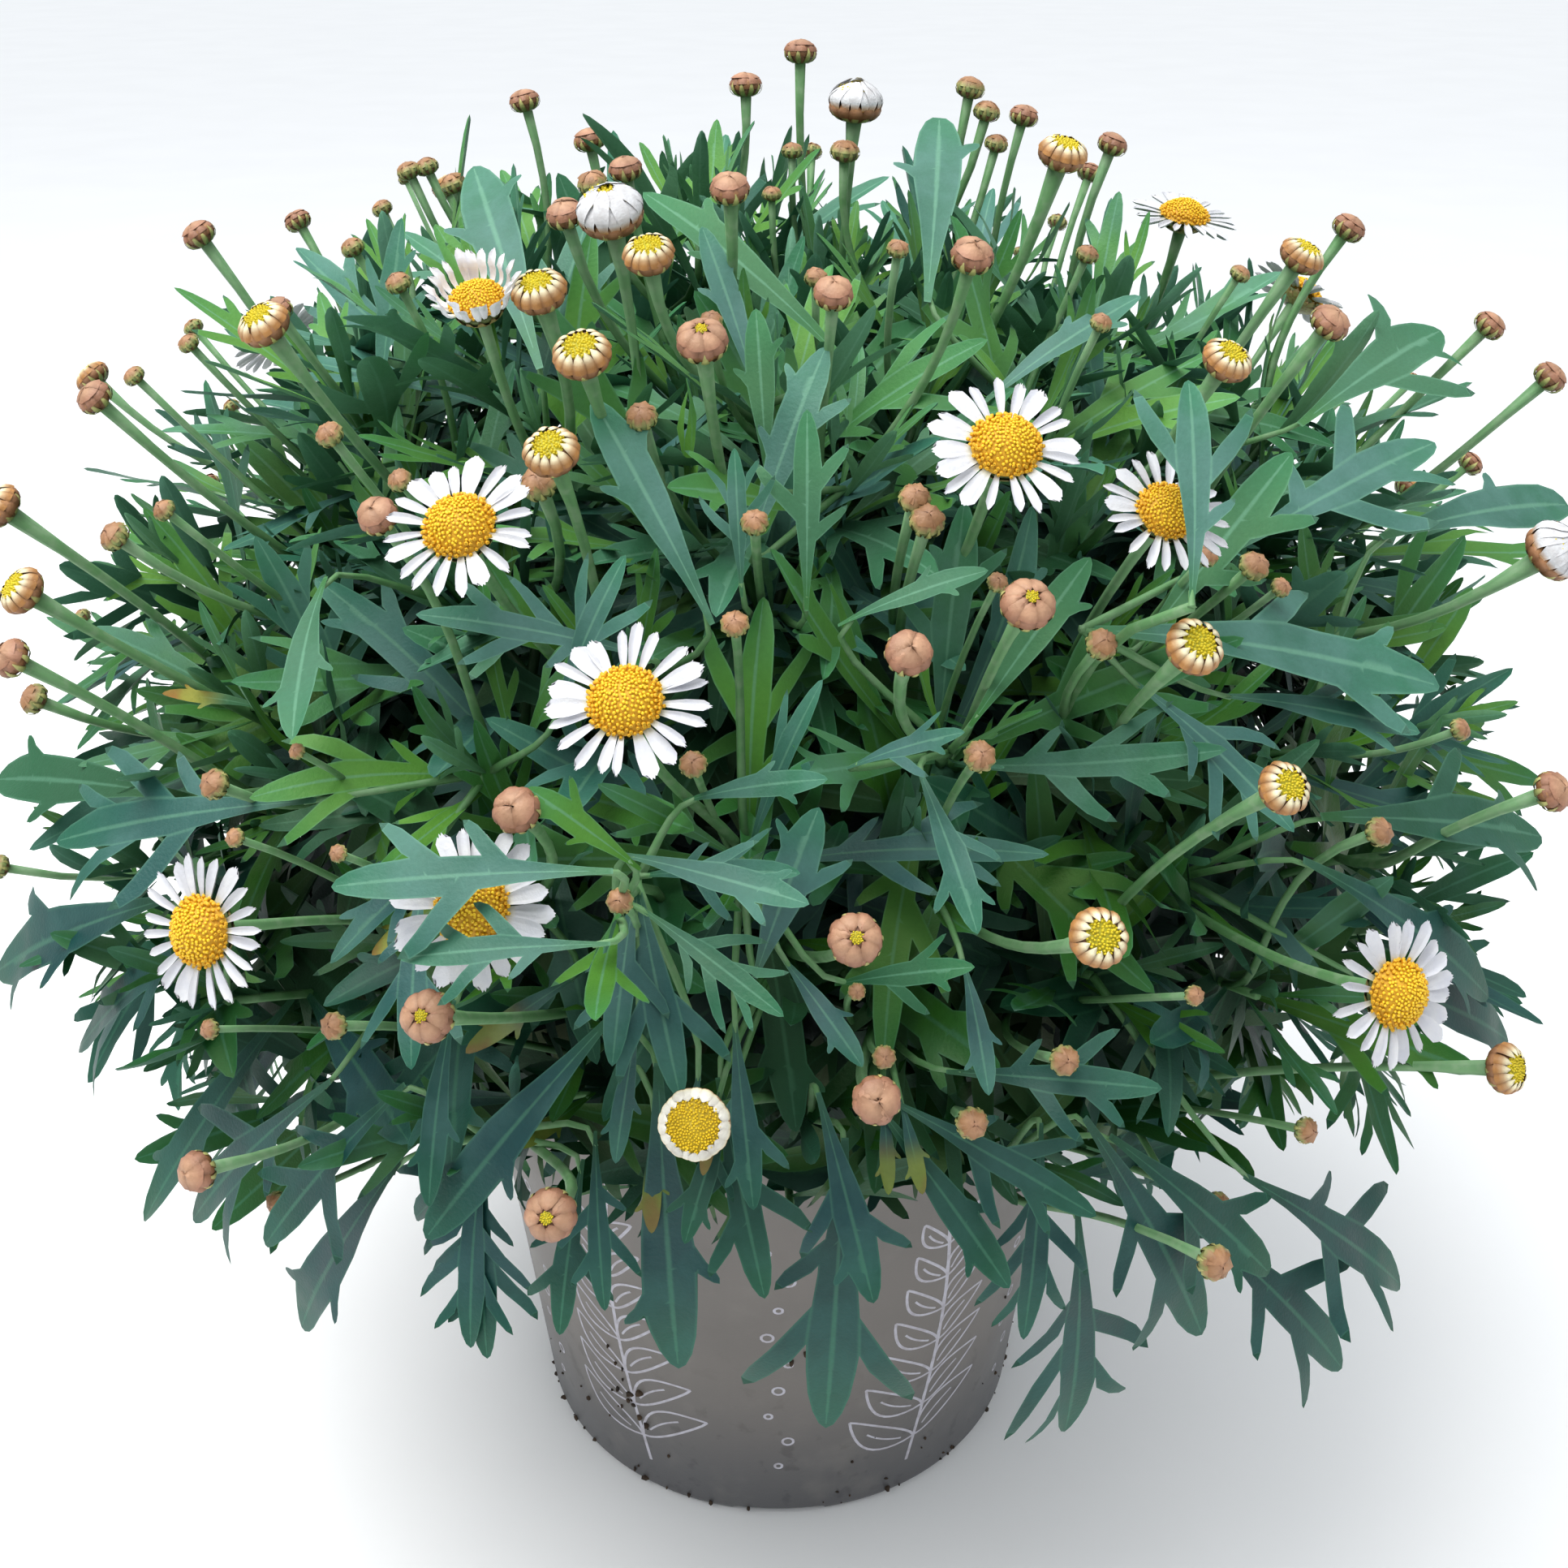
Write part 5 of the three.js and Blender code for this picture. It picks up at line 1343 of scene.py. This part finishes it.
def pot_profile():
    """Radius and height along the pot's section, from under its floor round to its floor inside."""
    height, base, rim, bevel = (POT[key] for key in ("height", "base", "rim", "bevel"))
    lift, wall, step, lip = (POT[key] for key in ("floor_lift", "wall", "band_step", "lip"))
    band_foot = height - POT["band"]
    floor_top = lift + wall
    # Each corner: radius, height, and the size of the bend that rounds it
    corners = np.array([
        (0.01, 0, 0), (POT["pad"], 0, 0.6), (POT["pad"] + bevel, lift, 0.8),
        (base - POT["foot"] - bevel, lift, 0.8), (base - POT["foot"], 0, 0.5), (base - bevel, 0, 1.2),
        (pot_radius(bevel), bevel, 1.6), (pot_radius(band_foot), band_foot, 0.8),
        (pot_radius(band_foot) + step, band_foot + step, 0.9), (rim, height - lip, 0.6),
        (rim - lip, height, 0.6), (pot_radius(height) - wall, height, 0.5),
        (pot_radius(floor_top) - wall, floor_top, 2), (0.01, floor_top, 0),
    ], float)
    places, sizes = corners[:, :2], corners[:, 2]
    bends = [rounded_corner(*places[k - 1:k + 2], sizes[k]) for k in range(1, len(corners) - 1)]
    return np.concatenate([places[:1], *bends, places[-1:]])


def make_pot(material):
    profile = pot_profile()
    columns = POT["segments"]
    angles = turns(columns)
    rows = circle(profile[:, :1], angles, profile[:, 1:])
    pitch = FULL_TURN / POT["notches"]
    from_notch = np.abs((angles + pitch / 2) % pitch - pitch / 2)
    in_notch = from_notch * POT["base"] < POT["notch"] / 2
    low = profile[:, 1] < POT["notch_height"]
    foot = (profile[:, 0] > POT["base"] - POT["foot"] - 1.5) & low
    lifted = foot[:, None] & in_notch[None, :]
    rows[..., 2] = np.where(lifted, np.maximum(rows[..., 2], POT["notch_height"]), rows[..., 2])
    skin = Skin()
    points = np.concatenate([rows.reshape(-1, 3), [[0, 0, 0], [0, 0, profile[-1, 1]]]])
    skin.add(points, closed_faces(len(profile), columns, foot=True))
    pot = skin.make("nursery_pot", [material], "pot_plastic", ["pot"])
    pierce(pot)
    for polygon in pot.data.polygons:
        polygon.use_smooth = True


def pierce(pot):
    """Cuts the drain holes through the pot's floor."""
    holes = Skin()
    columns = 20
    low = -4 * UP
    high = 14 * UP
    rim = circle(POT["hole"], turns(columns), 0)
    for k in range(POT["holes"]):
        centre = circle(POT["hole_ring"], FULL_TURN * (k + 0.5) / POT["holes"], 0)
        points = np.concatenate([rim + low, rim + high, [low, high]]) + centre
        holes.add(points, closed_faces(2, columns, foot=True))
    tool = holes.make("hole_tool", [], "pot_plastic")
    cut = pot.modifiers.new("holes", "BOOLEAN")
    cut.object = tool
    cut.operation = "DIFFERENCE"
    cut.solver = "EXACT"
    shape = pot.evaluated_get(bpy.context.evaluated_depsgraph_get())
    pierced = bpy.data.meshes.new_from_object(shape)
    pot.modifiers.clear()
    pot.data = pierced
    bpy.data.objects.remove(tool)


def on_pot(around, z, lift=0.0):
    """A point on the pot's outside, by its way round in millimetres at the base and its height."""
    return circle(pot_radius(z) + lift, around / POT["base"] - math.pi / 2, z)


def add_line(skin, line, half):
    """A flat printed line on the pot's wall, a little raised along its middle."""
    line = np.asarray(line, float)
    way = np.gradient(line, axis=0)
    way /= np.linalg.norm(way, axis=1)[:, None] + 1e-9
    aside = np.column_stack([-way[:, 1], way[:, 0]]) * half
    rows = [on_pot(row[:, 0], row[:, 1], lift)
            for row, lift in ((line + aside, 0.03), (line, 0.12), (line - aside, 0.03))]
    points = np.stack(rows, axis=1).reshape(-1, 3)
    skin.add(points, grid_faces(len(line), 3, closed=False)[:, ::-1])


def oval_leaf(foot, angle, long, wide):
    """A pointed oval outline and its midrib, in the plane of the pot's wall."""
    t = np.linspace(0, 1, 13)
    half = np.column_stack([0 * t, wide / 2 * np.sin(math.pi * t) ** 0.8 * (1 - 0.25 * t)])
    spine = np.column_stack([long * t, 0.12 * long * np.sin(math.pi * t)])
    outline = np.concatenate([spine + half, (spine - half)[::-1]])
    spin = spinner(angle)[:2, :2]
    return foot + outline @ spin, foot + spine[2:-4] @ spin


def make_print(material):
    """A ring of leafy sprigs, drawn in pale lines round the pot, with columns of rings between."""
    skin = Skin()
    line = PRINT["line"]
    pitch = FULL_TURN * POT["base"] / PRINT["sprigs"]
    t = np.linspace(0, 1, 30)
    for k in range(PRINT["sprigs"]):
        middle = pitch * (k + 0.5)
        sway = PRINT["sway"] * np.sin(2.6 * t) * (-1) ** k
        stem = np.column_stack([middle + sway, PRINT["foot"] + PRINT["tall"] * t])
        add_line(skin, stem, line * 1.3)
        for j in range(PRINT["pairs"]):
            at = 0.1 + 0.125 * j
            foot = np.array([np.interp(at, t, stem[:, axis]) for axis in (0, 1)])
            long = PRINT["longest"] - PRINT["shorter"] * j
            for side in (1, -1):
                angle = math.pi / 2 - side * math.radians(PRINT["lean"] - 3 * j)
                outline, rib = oval_leaf(foot, angle, long, 0.4 * long)
                add_line(skin, outline, line)
                add_line(skin, rib, 0.8 * line)
        add_line(skin, oval_leaf(stem[-1], math.pi / 2, *PRINT["top_leaf"])[0], line)
        for j in range(PRINT["dots"]):
            sideways = middle + pitch / 2 + PRINT["dot_sway"] * math.sin(2.1 * j)
            dot = np.array((sideways, PRINT["dot_foot"] + PRINT["dot_step"] * j))
            ring = circle(1.1 + 0.5 * (j % 2), np.linspace(0, FULL_TURN, 12), 0)
            add_line(skin, dot + ring[:, :2], line * 0.9)
    skin.make("pot_print", [material], "pot_plastic")


def lump_form():
    """A small twenty-faced stone, from which crumbs are squeezed."""
    g = (1 + math.sqrt(5)) / 2
    corners = [(-1, g, 0), (1, g, 0), (-1, -g, 0), (1, -g, 0), (0, -1, g), (0, 1, g), (0, -1, -g),
               (0, 1, -g), (g, 0, -1), (g, 0, 1), (-g, 0, -1), (-g, 0, 1)]
    faces = [(0, 11, 5), (0, 5, 1), (0, 1, 7), (0, 7, 10), (0, 10, 11), (1, 5, 9), (5, 11, 4),
             (11, 10, 2), (10, 7, 6), (7, 1, 8), (3, 9, 4), (3, 4, 2), (3, 2, 6), (3, 6, 8), (3, 8, 9),
             (4, 9, 5), (2, 4, 11), (6, 2, 10), (8, 6, 7), (9, 8, 1)]
    return np.array(corners) / math.sqrt(1 + g * g), np.array(faces)


LUMP_POINTS, LUMP_FACES = lump_form()


def add_crumb(skin, place, size, rng):
    squeeze = np.array([rng.uniform(0.5, 1.3) for _ in range(3)])
    rough = np.array([rng.uniform(0.75, 1.2) for _ in LUMP_POINTS])[:, None]
    skin.add(place + LUMP_POINTS * rough * squeeze * size, LUMP_FACES)


def make_soil(material, rng):
    """Soil that fills the pot up to a rough, slightly domed top, with crumbs on it."""
    wall = pot_radius(SOIL_TOP) - POT["wall"] - GAP
    foot = POT["floor_lift"] + POT["wall"] + GAP
    spokes = SOIL["spokes"]
    rings = SOIL["rings"]
    angles = turns(spokes)
    rows = [circle(0.01, angles, foot), circle(pot_radius(foot) - POT["wall"] - GAP, angles, foot)]
    for k in range(rings + 1):
        radius = wall * (1 - k / (rings + 1))
        lumps = SOIL["lump"] * (1 if k else 0.3)
        rough = np.array([rng.gauss(0, 1) for _ in range(spokes)]) * lumps
        rows.append(circle(radius, angles, soil_height(radius) + rough))
    skin = Skin()
    points = np.concatenate(rows + [[[0, 0, soil_height(0)]]])
    skin.add(points, closed_faces(len(rows), spokes))
    for _ in range(SOIL["crumbs"]):
        radius = (wall - 4) * math.sqrt(rng.random())
        angle = rng.random() * FULL_TURN
        size = rng.uniform(0.8, 3.2)
        add_crumb(skin, circle(radius, angle, soil_height(radius) + 0.6), size, rng)
    skin.make("soil_crumbly", [material], "potting_soil", ["soil"])


def make_specks(material, rng):
    """Crumbs of soil that stick to the pot's wall, most of them near its foot."""
    skin = Skin()
    lowest = SPECKS["lowest"]
    smear_around, smear_up, smear_spread = SPECKS["smear"]
    for k in range(SPECKS["count"]):
        around = rng.uniform(-0.5, 0.5) * FULL_TURN * POT["base"]
        z = 3 + 30 * rng.random() ** 2.4
        size = rng.uniform(*SPECKS["small"])
        if k % 3 == 0:
            z = lowest + 3 * rng.random()
            size = rng.uniform(*SPECKS["large"])
        if k % 10 == 0:
            around = rng.gauss(smear_around, smear_spread)
            z = rng.gauss(smear_up, smear_spread)
            size = rng.uniform(0.6, 1.4)
        if k % 9 == 0:
            z = rng.uniform(20, 118)
        add_crumb(skin, on_pot(around, max(z, lowest), 0.15), size, rng)
    skin.make("pot_specks", [material], "potting_soil")


# The view and the light. Each lamp: name, place, size, power and colour, in metres and watts
LAMPS = [
    ("sky_panel", (-0.5, -0.3, 1.6), 1.4, 26, (1.0, 0.99, 0.97)),
    ("front_fill", (0.6, -1.6, 1.4), 1.2, 3, (0.97, 0.98, 1.0)),
]
LIT_PLACE = (0, 0, 0.22)
FLOOR_HALF = 30.0


def add_object(name, data):
    made = bpy.data.objects.new(name, data)
    bpy.context.scene.collection.objects.link(made)
    return made


def make_camera():
    data = bpy.data.cameras.new("front_view")
    data.sensor_width = SENSOR
    data.lens = EYE["focal"] * SENSOR / EYE["frame"]
    camera = add_object("front_view", data)
    camera.location = (EYE["side"] * MM, -EYE["back"] * MM, EYE["up"] * MM)
    camera.rotation_euler = (math.radians(90 - EYE["tilt"]), 0, 0)
    bpy.context.scene.camera = camera


def make_lamp(name, place, size, power, colour):
    data = bpy.data.lights.new(name, "AREA")
    data.shape = "DISK"
    data.size = size
    data.energy = power
    data.color = colour
    lamp = add_object(name, data)
    lamp.location = place
    x, y, z = np.array(LIT_PLACE) - np.array(place)
    lamp.rotation_euler = (math.atan2(math.hypot(x, y), -z), 0, math.atan2(y, x) - math.pi / 2)


def make_studio():
    world = bpy.data.worlds.new("studio")
    world.use_nodes = True
    tree = world.node_tree
    background = tree.nodes["Background"]
    way = tree.nodes.new("ShaderNodeTexCoord")
    split = tree.nodes.new("ShaderNodeSeparateXYZ")
    sky = tree.nodes.new("ShaderNodeValToRGB")
    set_ramp(sky.color_ramp, SKY_TONES)
    tree.links.new(way.outputs["Generated"], split.inputs["Vector"])
    tree.links.new(split.outputs["Z"], sky.inputs["Fac"])
    tree.links.new(sky.outputs["Color"], background.inputs["Color"])
    background.inputs["Strength"].default_value = 1.0
    bpy.context.scene.world = world
    bpy.context.scene.view_settings.view_transform = "Standard"
    for lamp in LAMPS:
        make_lamp(*lamp)
    mesh = bpy.data.meshes.new("floor")
    corners = [(x * FLOOR_HALF, y * FLOOR_HALF, 0) for x, y in ((-1, -1), (1, -1), (1, 1), (-1, 1))]
    mesh.from_pydata(corners, [], [(0, 1, 2, 3)])
    mesh.materials.append(floor_material())
    floor = add_object("floor", mesh)


# The heads' places
def draw_back(count, spacing, taken, draw, lowest=-0.2):
    """Places on the far side of the bush, apart from each other and from the front's."""
    found = []
    for _ in range(BACK["tries"]):
        if len(found) == count:
            break
        angle = math.pi * (0.06 + 0.88 * draw())
        rise = lowest + (0.8 - lowest) * draw()
        flat = math.sqrt(1 - rise * rise)
        direction = np.array((flat * math.cos(angle), flat * math.sin(angle), rise))
        place = shell_point(BLOOM, direction, 0.97 + 0.04 * draw())
        if all(np.linalg.norm(other - place) > spacing for other in taken):
            taken.append(place)
            found.append(place)
    return found


def open_flower(head, axis, radius, clear, bowl, broad):
    """An open flower, with the place and size of the room that leaves keep free round it."""
    return {
        "kind": "flower", "head": head, "axis": axis, "radius": radius, "bowl": bowl, "broad": broad,
        "centre": head + axis * FLOWER["cup"], "reach": radius + 2, "clear": clear,
        "slim": 1.0, "neck": 0.12 * radius,
    }


def lay_heads(draw):
    """All heads in the order in which the frame's solids were placed, so the draws agree."""
    taken = []
    flowers = []
    for own in OPEN_FLOWERS:
        seen = {**PLAIN_FLOWER, **own}
        head = seen_point(BLOOM, seen["u"], seen["v"], seen["deep"])
        taken.append(head)
        radius = seen["across"] * view_depth(head) / (2 * EYE["focal"])
        radius = min(max(radius, FLOWER["smallest"]), FLOWER["largest"]) * seen["drawn"]
        flowers.append(open_flower(head, compass(seen["turn"], seen["lift"]), radius,
                                   *(seen[key] for key in ("clear", "bowl", "broad"))))
    for head in draw_back(BACK["flowers"], BACK["flower_spacing"], taken, draw):
        radius = blend(FLOWER["smallest"], FLOWER["largest"], draw())
        flowers.append(open_flower(head, head_axis(head), radius, FREE["flower"], 0, FAR_BROAD))
    for _ in range(3 * FRONT_RAYS * len(flowers)):
        draw()
    heads = []

    def place_head(kind, place, half):
        axis = head_axis(place)
        taken.append(place)
        heads.append({
            "kind": kind, "head": place, "axis": axis, "half": half,
            "centre": place + axis * (0.6 * half), "reach": 1.4 * half,
            "clear": FREE["bud" if kind == "bud" else "opening"],
            "slim": min(1, 0.4 + 0.13 * half), "neck": 0.36 * half,
        })

    for u, v, deep in CUPS:
        place_head("cup", seen_point(BLOOM, u, v, deep), HEAD_HALF["cup"])
    for u, v, kind in OPENING:
        place_head(kind, seen_point(BLOOM, u, v), HEAD_HALF[kind] * (0.93 + 0.14 * draw()))
    for u, v, deep in BUDS:
        place_head("bud", seen_point(BLOOM, u, v, deep), HEAD_HALF["bud"] * (0.92 + 0.16 * draw()))
    for place in draw_back(BACK["opening"], BACK["head_spacing"], taken, draw):
        place_head("ring", place, HEAD_HALF["ring"])
    for place in draw_back(BACK["buds"], BACK["head_spacing"], taken, draw):
        place_head("bud", place, HEAD_HALF["far_bud"])
    for u, v, half, deep in SMALL_BUDS:
        place_head("bud", seen_point(BLOOM if deep else NEST, u, v, deep), half)
    for place in draw_back(BACK_SMALL["count"], BACK_SMALL["spacing"], taken, draw, -0.35):
        place_head("bud", place, blend(BACK_SMALL["smallest"], BACK_SMALL["largest"], draw()))
    return flowers, heads


def grow_shoot(branch, shoot):
    """The twig from a branch's heart to a shoot's tip."""
    heart, tip = branch["heart"], shoot["tip"]
    reach = tip - heart
    bow = tip - shoot["axis"] * 0.5 * np.linalg.norm(reach)
    path = bezier(heart, heart + 0.3 * reach, bow, tip, 7)
    radii = np.linspace(1, 0.75, 7) * SHOOTS["stem"]
    add_rod(branch["plant"], path, radii, *RODS["shoot"])


def grow_plant(leaf_finish, stalk_finish, head_finish):
    """Makes the foliage and the heads of each branch, and returns the open flowers."""
    rng = random.Random(SEED)
    branches = lay_branches()
    shoots = lay_shoots(branches, rng)
    flowers, heads = lay_heads(seeded(SEED))
    items = flowers + heads
    for item in items:
        shoot = nearest_shoot(shoots, item["head"], item["axis"])
        shoot["load"] += 1
        add_stalk(shoot, item, rng)
        add_head(shoot["branch"]["heads"], item, rng)
    guarded = {key: np.array([item[key] for item in items]) for key in ("centre", "axis", "reach", "clear")}
    for seen in CLEAR_LEAVES:
        frame_leaf(shoots, seen[:4], seen[4], seen[5], 0.0, rng, *seen[6:])
    for seen in OLD_LEAVES:
        frame_leaf(shoots, seen[:4], OLD_FORM, seen[4], 1.0, rng, *seen[5:])
    for branch in branches:
        plant = branch["plant"]
        add_rod(plant, stem_path(branch), BRANCHES["stem"], *RODS["stem"])
        leaves = {}
        for shoot in branch["shoots"]:
            grow_shoot(branch, shoot)
            for j in range(shoot["leaves"]):
                kind, leaf = draw_leaf(shoot, j, rng)
                if not hangs_low(leaf) and not covers(leaf, guarded):
                    leaves.setdefault(kind, []).append(leaf)
        for form, twig, leaf in branch["framed"]:
            leaves.setdefault((False, form), []).append(leaf)
            add_rod(plant, twig, np.linspace(1.0, 0.55, len(twig)), *RODS["twig"])
        for (young, form), found in leaves.items():
            lay_leaves(plant, (YOUNG_FORMS if young else FORMS)[form], found)
        node = f"branch_{branch['name']}"
        plant.make(f"foliage_{branch['name']}", [leaf_finish, stalk_finish], "foliage", [node])
        if branch["heads"].count:
            branch["heads"].make(f"heads_{branch['name']}", [head_finish], "foliage", [node])
    return flowers


def make_flowers(flowers, ray_finish, disc_finish):
    """Makes the rays and the disc of each open flower."""
    rng = random.Random(SEED + 1)
    for i, flower in enumerate(flowers, 1):
        rays = Skin("colour")
        add_rays(rays, flower, rng)
        rays.make(f"petals_{i:02d}", [ray_finish], "white_rays", [f"rays_{i:02d}"])
        disc = Skin("colour")
        radius = FLOWER["disc_share"] * flower["radius"]
        seat = flower["head"] + flower["axis"] * (FLOWER["cup"] + 2 * GAP + 0.4)
        add_florets(disc, seat, flower["axis"], 0.95 * radius, FLOWER["disc_rise"] * radius,
                    FLOWER["florets"], rng, ripe=FLOWER["ripe"])
        disc.make(f"florets_{i:02d}", [disc_finish], "yellow_disc", [f"disc_{i:02d}"])


make_camera()
make_studio()
open_flowers = grow_plant(leaf_material(), stalk_material(), grained_material("marguerite_head"))
make_flowers(open_flowers, grained_material("marguerite_rays"), grained_material("marguerite_disc"))
make_pot(pot_material())
make_print(print_material())
soil_finish = soil_material()
make_soil(soil_finish, random.Random(SEED + 2))
make_specks(soil_finish, random.Random(SEED + 3))
